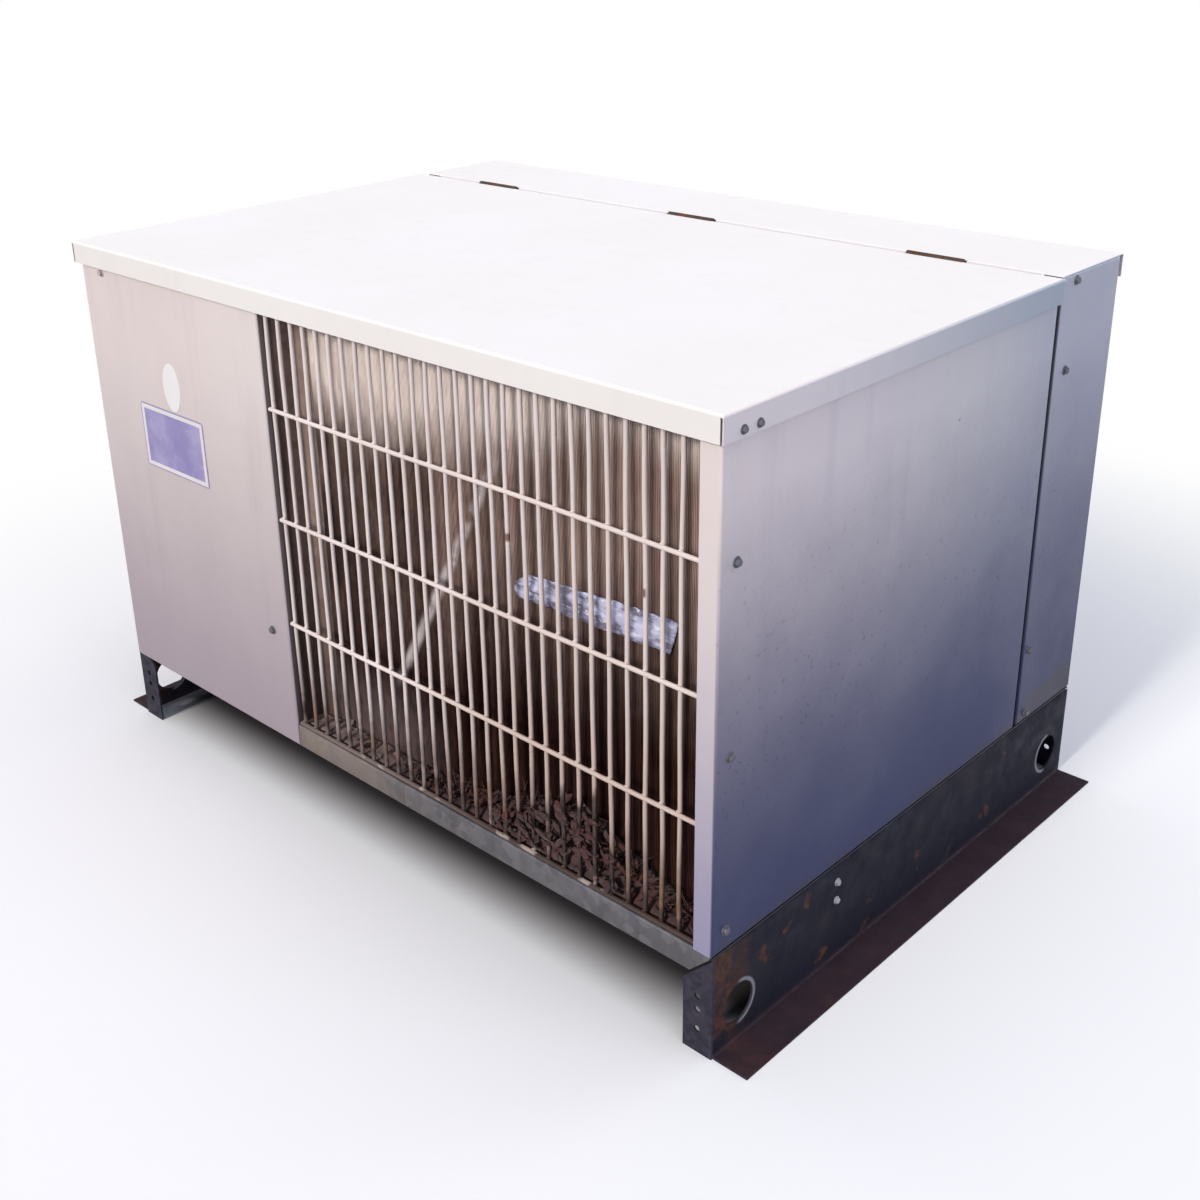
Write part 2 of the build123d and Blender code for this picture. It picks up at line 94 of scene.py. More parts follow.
class Stock:
    """Points and faces gathered for one piece."""

    def __init__(self):
        self.points = []
        self.faces = []

    def add(self, points, faces):
        """Takes in one closed shape."""
        base = len(self.points)
        self.points += [tuple(point) for point in points]
        self.faces += [[base + i for i in face] for face in faces]

    def tube(self, path, radius, sides=10):
        """A round bar along a path, closed at both ends; radius may be a list along the path."""
        path = [Vector(point) for point in path]
        radii = radius if isinstance(radius, list) else [radius] * len(path)
        points = []
        side = None
        for i, centre in enumerate(path):
            ahead = path[min(i + 1, len(path) - 1)] - path[max(i - 1, 0)]
            ahead.normalize()
            if side is None:
                side = ahead.orthogonal().normalized()
            side = (side - ahead * side.dot(ahead)).normalized()
            across = ahead.cross(side)
            points += [centre + (side * c + across * s) * radii[i] for c, s in ring_points(sides)]
        faces = []
        for i in range(len(path) - 1):
            faces += band(i * sides, sides)
        faces.append(list(reversed(range(sides))))
        last = (len(path) - 1) * sides
        faces.append([last + k for k in range(sides)])
        self.add(points, faces)

    def lathe(self, profile, place, sides=48):
        """A turned shape: profile gives radius and height from foot to head, both ends on the axis."""
        points = [place @ Vector((0, 0, profile[0][1]))]
        for radius, height in profile[1:-1]:
            points += [place @ Vector((radius * c, radius * s, height)) for c, s in ring_points(sides)]
        points.append(place @ Vector((0, 0, profile[-1][1])))
        faces = []
        head = len(points) - 1
        last = head - sides
        for row in range(1, last, sides):
            faces += band(row, sides)
        for k in range(sides):
            nxt = (k + 1) % sides
            faces.append([0, 1 + nxt, 1 + k])
            faces.append([last + k, last + nxt, head])
        self.add(points, faces)

    def slab(self, outline, place, thickness, bevel):
        """A thin plate from a closed outline, with a bevelled face edge."""
        count = len(outline)
        middle = sum((Vector(point) for point in outline), Vector((0, 0))) / count
        inner = [Vector(point) + (middle - Vector(point)).normalized() * bevel for point in outline]
        points = [place @ Vector((x, y, 0)) for x, y in outline]
        points += [place @ Vector((x, y, thickness - bevel)) for x, y in outline]
        points += [place @ Vector((x, y, thickness)) for x, y in inner]
        faces = [list(reversed(range(count))), [2 * count + k for k in range(count)]]
        faces += band(0, count) + band(count, count)
        self.add(points, faces)


def piece(name, stock, material, body="root", stands_for=(), sharp=40):
    """Makes the object of one piece, gives it its finish and hangs it on its body."""
    mesh = bpy.data.meshes.new(name)
    mesh.from_pydata(stock.points, [], stock.faces)
    mesh.polygons.foreach_set("use_smooth", [True] * len(mesh.polygons))
    mesh.set_sharp_from_angle(angle=math.radians(sharp))
    mesh.materials.append(material)
    made = bpy.data.objects.new(name, mesh)
    scene.collection.objects.link(made)
    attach(made, body)
    if stands_for:
        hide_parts(*stands_for)


class Bench:
    """Short ways to place and join the nodes of one tree."""

    def __init__(self, tree):
        self.tree = tree
        self.coords = None

    def node(self, kind, **settings):
        """Places one node."""
        made = self.tree.nodes.new(kind)
        for key, value in settings.items():
            setattr(made, key, value)
        return made

    def feed(self, socket, value):
        """Joins a socket to a source, or sets it."""
        if isinstance(value, bpy.types.NodeSocket):
            self.tree.links.new(value, socket)
        elif hasattr(value, "__len__") and len(value) == 3 and len(socket.default_value) == 4:
            socket.default_value = (*value, 1.0)
        else:
            socket.default_value = value

    def where(self):
        """The point on the piece, in the part's frame."""
        if self.coords is None:
            self.coords = self.node("ShaderNodeTexCoord").outputs["Object"]
        return self.coords

    def axis(self, letter):
        """One coordinate of that point."""
        split = self.node("ShaderNodeSeparateXYZ")
        self.feed(split.inputs[0], self.where())
        return split.outputs[letter]

    def off(self, letter):
        """How far that point is from the middle along one axis."""
        return self.sum("ABSOLUTE", self.axis(letter))

    def sum(self, operation, a, b=0.0):
        """One step of arithmetic."""
        made = self.node("ShaderNodeMath", operation=operation)
        self.feed(made.inputs[0], a)
        self.feed(made.inputs[1], b)
        return made.outputs[0]

    def noise(self, scale, detail=4.0, rough=0.55, stretch=(1, 1, 1), shift=(0, 0, 0)):
        """Cloudy noise over the point, stretched along the axes."""
        mapping = self.node("ShaderNodeMapping")
        self.feed(mapping.inputs["Vector"], self.where())
        self.feed(mapping.inputs["Scale"], stretch)
        self.feed(mapping.inputs["Location"], shift)
        made = self.node("ShaderNodeTexNoise")
        self.feed(made.inputs["Vector"], mapping.outputs[0])
        self.feed(made.inputs["Scale"], scale)
        self.feed(made.inputs["Detail"], detail)
        self.feed(made.inputs["Roughness"], rough)
        return made.outputs[0]

    def window(self, value, low, high, bottom=0.0, top=1.0):
        """A soft step from bottom to top as the value goes from low to high."""
        made = self.node("ShaderNodeMapRange", interpolation_type="SMOOTHSTEP")
        for label, given in (("Value", value), ("From Min", low), ("From Max", high), ("To Min", bottom),
                             ("To Max", top)):
            self.feed(made.inputs[label], given)
        return made.outputs[0]

    def between(self, value, low, high, soft):
        """A mask that is one between two limits."""
        rise = self.window(value, low - soft, low + soft)
        fall = self.window(value, high - soft, high + soft, 1.0, 0.0)
        return self.times(rise, fall)

    def blend(self, factor, a, b):
        """From colour a to colour b."""
        made = self.node("ShaderNodeMix", data_type="RGBA")
        self.feed(made.inputs[0], factor)
        self.feed(made.inputs[6], a)
        self.feed(made.inputs[7], b)
        return made.outputs[2]

    def times(self, a, b):
        """Where two masks meet, or a mask made weaker."""
        return self.sum("MULTIPLY", a, b)

    def coat(self, colour, mask, amount, tone):
        """A colour with some of a tone laid over it, inside a mask."""
        return self.blend(self.times(mask, amount), colour, tone)

    def line(self, value, slope, start):
        """A value times a slope, plus a start."""
        made = self.sum("MULTIPLY_ADD", value, slope)
        self.feed(made.node.inputs[2], start)
        return made

    def finish(self, colour, dull, height, strength, distance):
        """Joins colour, roughness and a bump made from a height to the shader, and gives the material."""
        bump = self.node("ShaderNodeBump")
        self.feed(bump.inputs["Strength"], strength)
        self.feed(bump.inputs["Distance"], distance)
        self.feed(bump.inputs["Height"], height)
        for label, value in (("Base Color", colour), ("Roughness", dull), ("Normal", bump.outputs["Normal"])):
            self.feed(self.shader.inputs[label], value)
        return self.material

    def group(self, tree, **values):
        """Places a shared effect with this material's own values."""
        made = self.node("ShaderNodeGroup", node_tree=tree)
        for label, value in values.items():
            self.feed(made.inputs[label.replace("_", " ")], value)
        return made.outputs


def shared_effect(name, inputs, outputs):
    """An empty node group with named values going in and masks or colours coming out."""
    tree = bpy.data.node_groups.new(name, "ShaderNodeTree")
    for label, default in inputs.items():
        socket = tree.interface.new_socket(label, in_out="INPUT", socket_type="NodeSocketFloat")
        socket.default_value = default
    for label, kind in outputs.items():
        tree.interface.new_socket(label, in_out="OUTPUT", socket_type=kind)
    given = tree.nodes.new("NodeGroupInput").outputs
    result = tree.nodes.new("NodeGroupOutput").inputs
    return tree, Bench(tree), given, result


def make_weather():
    """Sun fade, rain streaks, a ragged mask that climbs from the foot for dirt and painted shade, and the
    grain of sprayed paint.
    """
    tree, bench, given, result = shared_effect(
        "weather", {"Foot Low": 0.1, "Foot High": 0.4, "Streaks": 38.0},
        {"Fade": "NodeSocketFloat", "Streak": "NodeSocketFloat", "Foot": "NodeSocketFloat",
         "Grain": "NodeSocketFloat"})
    bench.feed(result["Fade"], bench.window(bench.noise(3.1, 6.0, 0.6), 0.33, 0.68))
    streak = bench.noise(given["Streaks"], 3.0, 0.5, (1, 1, 0.035))
    cloud = bench.window(bench.noise(5.0, 2.0), 0.35, 0.65)
    bench.feed(result["Streak"], bench.times(bench.window(streak, 0.50, 0.76), cloud))
    ragged = bench.line(bench.noise(11.0, 6.0, 0.62), 0.08, -0.04)
    level = bench.sum("ADD", bench.axis("Z"), ragged)
    bench.feed(result["Foot"], bench.window(level, given["Foot Low"], given["Foot High"], 1.0, 0.0))
    bench.feed(result["Grain"], bench.noise(620.0, 2.0, 0.5))
    return tree


def make_rust():
    """Rust patches: a mask, the colours of the scale and its height."""
    tree, bench, given, result = shared_effect(
        "rust", {"Cover": 0.3, "Size": 30.0},
        {"Mask": "NodeSocketFloat", "Color": "NodeSocketColor", "Height": "NodeSocketFloat"})
    cloud = bench.noise(given["Size"], 9.0, 0.66)
    edge = bench.line(given["Cover"], -0.42, 0.74)
    soft = bench.sum("ADD", edge, 0.07)
    bench.feed(result["Mask"], bench.window(cloud, edge, soft))
    tone = bench.window(bench.noise(95.0, 7.0, 0.7), 0.32, 0.68)
    bench.feed(result["Color"], bench.blend(tone, (0.040, 0.017, 0.010), (0.225, 0.082, 0.030)))
    bench.feed(result["Height"], bench.noise(240.0, 5.0, 0.7))
    return tree


def make_zinc():
    """The spangle of galvanised sheet."""
    tree, bench, given, result = shared_effect(
        "zinc", {"Size": 90.0}, {"Tone": "NodeSocketFloat", "Dull": "NodeSocketFloat"})
    cells = bench.node("ShaderNodeTexVoronoi", feature="F1")
    bench.feed(cells.inputs["Vector"], bench.where())
    bench.feed(cells.inputs["Scale"], given["Size"])
    split = bench.node("ShaderNodeSeparateColor")
    bench.feed(split.inputs[0], cells.outputs["Color"])
    clouds = bench.noise(24.0, 6.0, 0.6)
    tone = bench.line(split.outputs[0], 0.45, bench.times(clouds, 0.6))
    bench.feed(result["Tone"], bench.window(tone, 0.1, 0.9))
    bench.feed(result["Dull"], bench.window(clouds, 0.2, 0.8, 0.42, 0.68))
    return tree


def make_dust():
    """Dry dust in soft patches."""
    tree, bench, given, result = shared_effect(
        "dust", {"Cover": 0.5, "Size": 12.0}, {"Mask": "NodeSocketFloat", "Color": "NodeSocketColor"})
    cloud = bench.noise(given["Size"], 7.0, 0.64)
    floor = bench.sum("SUBTRACT", 0.86, given["Cover"])
    high = bench.sum("ADD", floor, 0.34)
    bench.feed(result["Mask"], bench.window(cloud, floor, high))
    tone = bench.window(bench.noise(48.0, 5.0, 0.6), 0.3, 0.7)
    bench.feed(result["Color"], bench.blend(tone, (0.215, 0.150, 0.105), (0.42, 0.335, 0.26)))
    return tree


weather = make_weather()
rust = make_rust()
zinc = make_zinc()
dust = make_dust()


def finish_of(name, metallic=0.0, specular=0.5):
    """A bench on the tree of a new material, with its shader at hand."""
    material = bpy.data.materials.new(name)
    material.use_nodes = True
    bench = Bench(material.node_tree)
    bench.material = material
    bench.shader = material.node_tree.nodes["Principled BSDF"]
    bench.shader.inputs["Metallic"].default_value = metallic
    bench.shader.inputs["Specular IOR Level"].default_value = specular
    return bench


def painted_steel(name, paint, faded, grime_and_shade, foot, foot_amount, streak_amount, rust_cover, splash_and_shade=0.0,
                  edge_shade=0.0, ends=None, seam_shade=(0.045, 0.042, 0.055), specular=0.35,
                  rough=(0.40, 0.58)):
    """Sprayed sheet steel: faded paint, rain streaks, a foot darkened by dirt and painted shade, small rust
    spots, mud and painted blue shade on the ends.

    The edge that turns in beside the coil's opening may be painted darker as shade, and the seam is painted
    dark as shade in its gap.
    Ends give where an end's face lies, the painted light at its front, the painted shade at its back and how
    far it takes that.
    """
    bench = finish_of(name, specular=specular)
    aged = bench.group(weather, Foot_Low=foot[0], Foot_High=foot[1])
    scale = bench.group(rust, Cover=rust_cover, Size=26.0)
    face_x, near_light_tone, far_shade_tone, far_shade_amount = ends or (END, paint, paint, 0.0)
    on_end = bench.window(bench.off("X"), face_x - 0.0035, face_x - 0.0010)
    colour = bench.blend(aged["Fade"], paint, faded)
    # Painted light on the end faces: warm light at the front, blue shade towards the back.
    if ends:
        colour = bench.coat(colour, on_end, 0.7, near_light_tone)
        far = bench.window(bench.axis("Y"), -0.36, 0.30, 0.0, far_shade_amount)
        colour = bench.blend(bench.times(far, on_end), colour, far_shade_tone)
    colour = bench.coat(colour, aged["Streak"], streak_amount, grime_and_shade)
    # Darker towards the foot: dirt, and painted shade.
    dirt_and_shade = bench.times(aged["Foot"], foot_amount)
    if splash_and_shade:
        weaker_on_left = bench.window(bench.axis("X"), -0.1, 0.1, 0.55, 1.0)
        dirt_and_shade = bench.times(dirt_and_shade, weaker_on_left)
    colour = bench.blend(dirt_and_shade, colour, grime_and_shade)
    # Painted shade on the edge that turns in beside the coil's opening.
    beside = bench.window(bench.axis("X"), BAY_EDGE - 0.0022, BAY_EDGE - 0.0008)
    behind = bench.window(bench.off("Y"), BACK - 0.0012, BACK - 0.0028)
    turned_in = bench.times(beside, behind)
    colour = bench.coat(colour, turned_in, edge_shade, (0.085, 0.060, 0.056))
    # Painted shade in the gap of the seam between lid and rear strip.
    in_seam = bench.between(bench.axis("Y"), SEAM - 0.0042, SEAM + 0.0042, 0.0008)
    colour = bench.coat(colour, in_seam, 0.88, seam_shade)
    if splash_and_shade:
        # Mud splashed up the end faces, with painted blue shade that darkens them towards the foot; weaker on
        # the left end.
        climb = bench.group(weather, Foot_Low=0.12, Foot_High=0.63)["Foot"]
        # Painted shade: the end faces are darker towards the back.
        rear_shade = bench.times(bench.window(bench.axis("Y"), 0.06, 0.33), on_end)
        colour = bench.coat(colour, rear_shade, 0.28, grime_and_shade)
        mud = bench.times(bench.sum("POWER", climb, 0.55), bench.times(on_end, weaker_on_left))
        colour = bench.coat(colour, mud, splash_and_shade, END_SPLASH_AND_SHADE)
        spatter = bench.times(bench.window(bench.noise(150.0, 3.0, 0.6), 0.62, 0.70), mud)
        colour = bench.coat(colour, spatter, 0.6, (0.030, 0.030, 0.050))
        ragged = bench.line(bench.noise(34.0, 7.0, 0.66), 0.07, -0.035)
        rise = bench.window(bench.axis("Y"), 0.18, 0.34, 0.0, 0.036)
        level = bench.sum("ADD", bench.sum("SUBTRACT", bench.axis("Z"), rise), ragged)
        line = bench.window(level, 0.128, 0.146, 1.0, 0.0)
        colour = bench.coat(colour, bench.times(line, on_end), 0.8, (0.040, 0.036, 0.052))
    colour = bench.coat(colour, scale["Mask"], 0.85, scale["Color"])
    matt = bench.window(aged["Fade"], 0.0, 1.0, *rough)
    dull = bench.sum("MAXIMUM", matt, bench.times(scale["Mask"], 0.85))
    return bench.finish(colour, dull, aged["Grain"], 0.12, 0.0006)


def zinc_sheet(name, dark, bright, dirt, foot, foot_amount, rust_cover, metallic=0.55, dry_left=0.0):
    """Galvanised sheet with spangle, water stains, a dirty foot and black ends.

    Its left part may be under dry tan dust.
    """
    bench = finish_of(name, metallic=metallic)
    spangle = bench.group(zinc)
    aged = bench.group(weather, Foot_Low=foot[0], Foot_High=foot[1], Streaks=55.0)
    scale = bench.group(rust, Cover=rust_cover, Size=22.0)
    colour = bench.blend(spangle["Tone"], dark, bright)
    colour = bench.coat(colour, aged["Streak"], 0.75, dirt)
    patchy = bench.window(bench.noise(17.0, 6.0), 0.25, 0.6)
    dry = bench.times(bench.window(bench.axis("X"), 0.20, -0.10), patchy)
    colour = bench.coat(colour, dry, dry_left, (0.30, 0.235, 0.195))
    at_end = bench.window(bench.off("X"), END - 0.006, END - 0.003)
    colour = bench.coat(colour, at_end, 0.92, (0.016, 0.015, 0.020))
    colour = bench.coat(colour, aged["Foot"], foot_amount, dirt)
    colour = bench.coat(colour, scale["Mask"], 0.9, scale["Color"])
    dull = bench.sum("MAXIMUM", spangle["Dull"], bench.times(scale["Mask"], 0.85))
    return bench.finish(colour, dull, spangle["Tone"], 0.08, 0.0008)


def skid_steel(name):
    """The skid: dark old coat and painted shade, rust at the ends and foot, bare grey end flange, pale rim at
    one side of the hole.
    """
    bench = finish_of(name, specular=0.22)
    scale = bench.group(rust, Cover=0.34, Size=17.0)
    spangle = bench.group(zinc, Size=130.0)
    grit = bench.group(dust, Cover=0.32, Size=20.0)
    y = bench.axis("Y")
    z = bench.axis("Z")
    away = bench.sum("ABSOLUTE", y)
    # Near-black: an old dark coat with painted shade laid into it.
    dark_coat_and_shade = bench.blend(bench.noise(14.0, 7.0, 0.62), (0.004, 0.0038, 0.009), (0.015, 0.0140, 0.028))
    foot = bench.window(z, 0.004, 0.012, 1.0, 0.0)
    colour = bench.coat(dark_coat_and_shade, scale["Mask"], 0.6, scale["Color"])
    colour = bench.coat(colour, grit["Mask"], 0.2, grit["Color"])
    # The foot flange: dirt, with painted shade that darkens it.
    foot_dirt_and_shade = bench.blend(bench.noise(30.0, 8.0, 0.7), (0.014, 0.008, 0.013), (0.050, 0.025, 0.033))
    colour = bench.coat(colour, foot, 0.85, foot_dirt_and_shade)
    near_end = bench.times(bench.window(y, -0.300, -0.352), bench.window(z, 0.004, 0.016, 0.25, 1.0))
    ragged_end = bench.times(near_end, bench.window(bench.noise(26.0, 7.0, 0.68), 0.34, 0.56))
    colour = bench.coat(colour, ragged_end, 0.5, scale["Color"])
    flange = bench.window(away, 0.3700, 0.3708)
    bare = bench.blend(spangle["Tone"], (0.018, 0.017, 0.029), (0.050, 0.046, 0.068))
    spots = bench.group(rust, Cover=0.30, Size=40.0)
    stained = bench.coat(bare, spots["Mask"], 0.8, (0.035, 0.025, 0.027))
    colour = bench.blend(flange, colour, stained)
    across = bench.sum("SUBTRACT", away, 0.329)
    rise = bench.sum("SUBTRACT", z, 0.048)
    ring = bench.sum("SQRT", bench.sum("ADD", bench.sum("POWER", across, 2.0), bench.sum("POWER", rise, 2.0)))
    # A pale rim at one side of the hole.
    rim = bench.between(ring, 0.0245, 0.0285, 0.0012)
    inner_side = bench.window(across, 0.004, -0.006)
    colour = bench.blend(bench.times(rim, inner_side), colour, (0.27, 0.26, 0.28))
    dull = bench.window(bench.noise(40.0, 5.0), 0.2, 0.8, 0.55, 0.9)
    return bench.finish(colour, dull, scale["Height"], 0.35, 0.0016)


def wire_paint(name):
    """Coated guard wire: pale coat, rust at chips, brown towards the foot, caked where leaves are matted."""
    bench = finish_of(name, specular=0.4)
    x = bench.axis("X")
    z = bench.axis("Z")
    scale = bench.group(rust, Cover=0.16, Size=34.0)
    aged = bench.group(weather, Foot_Low=0.13, Foot_High=0.235)
    coat = bench.blend(aged["Fade"], (0.800, 0.695, 0.655), (0.915, 0.815, 0.780))
    coat = bench.coat(coat, bench.noise(60.0, 5.0, 0.6), 0.12, (0.50, 0.40, 0.34))
    colour = bench.coat(coat, scale["Mask"], 0.9, scale["Color"])
    for chip_x, chip_z in WIRE_CHIPS:
        beside = bench.between(x, chip_x - 0.006, chip_x + 0.006, 0.001)
        level = bench.between(z, chip_z - 0.004, chip_z + 0.005, 0.002)
        colour = bench.coat(colour, bench.times(beside, level), 0.9, scale["Color"])
    right_part = bench.window(x, -0.02, 0.26)
    stain = bench.group(weather, Foot_Low=0.17, Foot_High=0.56)["Foot"]
    stain = bench.times(stain, right_part)
    colour = bench.coat(colour, stain, 0.74, (0.45, 0.305, 0.235))
    uneven = bench.line(bench.noise(45.0, 3.0, 0.6, (1, 1, 0.25)), 0.10, -0.05)
    level = bench.sum("ADD", z, uneven)
    brown = bench.blend(right_part, (0.235, 0.185, 0.165), (0.185, 0.120, 0.100))
    colour = bench.coat(colour, bench.window(level, 0.262, 0.172), 0.80, brown)
    mud = bench.window(bench.noise(21.0, 6.0, 0.66), 0.38, 0.54)
    mud = bench.times(mud, aged["Foot"])
    tone = bench.window(bench.noise(55.0, 4.0, 0.6), 0.40, 0.62)
    muddy = bench.blend(tone, (0.060, 0.030, 0.022), (0.205, 0.095, 0.045))
    colour = bench.coat(colour, mud, 0.95, muddy)
    heap = bench.times(bench.window(x, 0.205, 0.345), bench.window(x, 0.412, 0.375))
    matted = bench.window(bench.sum("SUBTRACT", level, bench.times(heap, 0.085)), 0.160, 0.146)
    clear = bench.between(x, CLEAR_WIRE_X - 0.006, CLEAR_WIRE_X + 0.006, 0.002)
    matted = bench.times(matted, bench.window(clear, 0.0, 1.0, 1.0, 0.35))
    matted = bench.times(matted, bench.window(bench.axis("Y"), 0.0, -0.1))
    colour = bench.coat(colour, matted, 0.95, bench.blend(tone, (0.026, 0.016, 0.017), (0.090, 0.046, 0.040)))
    caked = bench.times(bench.window(z, 0.152, 0.137), 0.88)
    fleck = bench.times(bench.window(bench.noise(24.0, 3.0), 0.60, 0.66), 0.75)
    border = bench.blend(right_part, (0.185, 0.140, 0.122), (0.060, 0.035, 0.027))
    colour = bench.blend(caked, colour, bench.blend(fleck, border, (0.52, 0.43, 0.38)))
    dull = bench.window(scale["Mask"], 0.0, 1.0, 0.42, 0.85)
    return bench.finish(colour, dull, scale["Height"], 0.2, 0.0005)


def fin_dust(name):
    """Aluminium fins under brown dust: painted pale glare at the top, brown in the middle, darker at the
    foot.
    """
    bench = finish_of(name, metallic=0.0, specular=0.05)
    x = bench.axis("X")
    z = bench.axis("Z")
    grit = bench.group(dust, Cover=0.55, Size=9.0)
    # Dark and light columns: streaks in the dust, partly painted shadows of the guard wires.
    columns = bench.window(bench.noise(95.0, 4.0, 0.6, (1, 1, 0.025)), 0.32, 0.68)
    brown = bench.blend(columns, (0.090, 0.045, 0.035), (0.375, 0.255, 0.218))
    brown = bench.coat(brown, grit["Mask"], 0.4, (0.40, 0.295, 0.255))
    cloud = bench.noise(8.0, 6.0, 0.62)
    ragged = bench.line(cloud, 0.18, -0.09)
    sunlit = bench.times(bench.window(x, 0.075, 0.130), bench.window(z, 0.41, 0.48))
    brown = bench.coat(brown, sunlit, 0.30, (0.46, 0.345, 0.300))
    shady = bench.times(bench.window(x, 0.120, 0.070), bench.between(z, 0.30, 0.55, 0.05))
    shady = bench.times(shady, bench.window(cloud, 0.30, 0.62, 0.80, 0.50))
    slope = bench.line(x, -0.24, 0.026)
    level = bench.sum("ADD", bench.sum("ADD", z, ragged), slope)
    # Painted glare: the top of the coil is painted pale as light.
    pale = bench.blend(columns, (0.80, 0.710, 0.660), (0.92, 0.845, 0.800))
    glare_crown = bench.sum("ADD", z, bench.times(ragged, 0.45))
    glare_crown = bench.sum("SUBTRACT", glare_crown, bench.times(bench.window(x, 0.08, 0.40), 0.085))
    brown = bench.blend(bench.window(glare_crown, 0.518, 0.606), brown, pale)
    brown = bench.blend(shady, brown, (0.022, 0.0100, 0.0080))
    # Darker towards the foot.
    darker_low = bench.blend(columns, (0.018, 0.006, 0.0055), (0.055, 0.024, 0.020))
    brown = bench.blend(bench.window(level, 0.45, 0.24), brown, darker_low)
    dry_foot = bench.times(bench.window(x, 0.12, 0.00), bench.window(z, 0.26, 0.16))
    brown = bench.coat(brown, dry_foot, 0.5, (0.31, 0.235, 0.225))
    run = bench.sum("SUBTRACT", x, bench.line(z, BRUISE_SLOPE, BRUISE_START))
    streak = bench.between(run, -0.007, 0.007, 0.005)
    streak = bench.times(streak, bench.between(z, 0.25, 0.56, 0.03))
    streak = bench.times(streak, bench.window(bench.noise(30.0, 5.0, 0.6), 0.30, 0.52))
    colour = bench.coat(brown, streak, 0.95, (0.72, 0.66, 0.66))
    dull = bench.window(grit["Mask"], 0.0, 1.0, 0.62, 0.92)
    return bench.finish(colour, dull, bench.noise(300.0, 4.0, 0.6), 0.2, 0.0006)


def spotted_metal(name, dark, bright, metallic, rough, spot_size, rust_cover, dust_cover):
    """Plain metal or paint with cloudy tone, dust and a little rust."""
    bench = finish_of(name, metallic=metallic)
    scale = bench.group(rust, Cover=rust_cover, Size=30.0)
    grit = bench.group(dust, Cover=dust_cover, Size=16.0)
    colour = bench.blend(bench.noise(spot_size, 6.0, 0.6), dark, bright)
    colour = bench.coat(colour, grit["Mask"], 0.55, grit["Color"])
    colour = bench.coat(colour, scale["Mask"], 0.9, scale["Color"])
    matt = bench.sum("MAXIMUM", bench.times(grit["Mask"], 0.8), bench.times(scale["Mask"], 0.85))
    shine = bench.window(bench.noise(70.0), 0.2, 0.8, *rough)
    dull = bench.sum("MAXIMUM", shine, matt)
    return bench.finish(colour, dull, bench.noise(420.0, 3.0), 0.1, 0.0005)


def plate_print(name):
    """The bare rating plate: a thin violet line at its edge, a white margin and a plain faded blue field."""
    bench = finish_of(name, specular=0.5)
    x = bench.sum("ABSOLUTE", bench.sum("SUBTRACT", bench.axis("X"), PLATE_X))
    z = bench.sum("ABSOLUTE", bench.sum("SUBTRACT", bench.axis("Z"), PLATE_Z))

    def inside(margin):
        across = bench.window(x, PLATE_HALF_X - margin, PLATE_HALF_X - margin - 0.0006)
        return bench.times(across, bench.window(z, PLATE_HALF_Z - margin, PLATE_HALF_Z - margin - 0.0006))

    ground = bench.blend(bench.noise(18.0, 6.0, 0.6), (0.74, 0.70, 0.75), (0.86, 0.83, 0.86))
    tone = bench.window(bench.noise(20.0, 6.0, 0.6), 0.3, 0.7)
    blue = bench.blend(tone, (0.25, 0.215, 0.47), (0.43, 0.385, 0.62))
    colour = bench.blend(inside(0.0018), (0.36, 0.32, 0.46), ground)
    worn = bench.window(bench.noise(70.0, 7.0, 0.7), 0.24, 0.36)
    colour = bench.blend(bench.times(inside(0.0072), worn), colour, blue)
    dull = bench.window(bench.noise(30.0), 0.2, 0.8, 0.35, 0.6)
    return bench.finish(colour, dull, bench.noise(200.0), 0.06, 0.0004)


def crinkled_film(name):
    """Thin clear film: painted blue-white highlights along its creases, painted glints, dark where it lies
    flat.
    """
    bench = finish_of(name, specular=0.6)
    crease_highlight = bench.window(bench.noise(85.0, 5.0, 0.62, (0.30, 1, 1)), 0.40, 0.60)
    glint = bench.window(bench.noise(170.0, 4.0, 0.6, (0.5, 1, 1)), 0.55, 0.68)
    # Painted highlights: bright blue-white along the creases and at the glints.
    colour = bench.blend(crease_highlight, (0.18, 0.160, 0.25), (0.60, 0.62, 0.84))
    colour = bench.coat(colour, glint, 0.8, (0.88, 0.89, 0.96))
    dull = bench.window(crease_highlight, 0.0, 1.0, 0.18, 0.42)
    return bench.finish(colour, dull, bench.noise(120.0, 5.0, 0.6, (0.3, 1, 1)), 0.5, 0.0015)


def leaf_litter(name):
    """Dead leaves and dirt, brown to nearly black."""
    bench = finish_of(name, specular=0.2)
    tone = bench.window(bench.noise(75.0, 5.0, 0.65), 0.30, 0.72)
    red = bench.window(bench.noise(33.0, 3.0), 0.42, 0.62)
    brown = bench.blend(red, (0.098, 0.064, 0.058), (0.120, 0.045, 0.036))
    dry = bench.times(bench.window(bench.axis("X"), 0.10, -0.04), 0.75)
    dark = bench.blend(dry, (0.054, 0.033, 0.035), (0.17, 0.125, 0.115))
    brown = bench.blend(dry, brown, (0.33, 0.255, 0.235))
    dull = bench.window(tone, 0.0, 1.0, 0.95, 0.75)
    return bench.finish(bench.blend(tone, dark, brown), dull, bench.noise(500.0, 4.0), 0.3, 0.0006)


PAINT = (0.785, 0.690, 0.665)
FADED = (0.845, 0.765, 0.745)
LID_PAINT = (0.905, 0.872, 0.842)
LID_FADED = (0.920, 0.895, 0.870)
# Painted light on the end faces and the lid's lips: warm light at the front, blue shade at the back.
END_FRONT_LIGHT = (0.905, 0.760, 0.725)
END_REAR_SHADE = (0.230, 0.360, 0.440)
# Painted shade in the roof seam's gap: a pale grey line.
ROOF_SEAM_SHADE = (0.60, 0.58, 0.60)
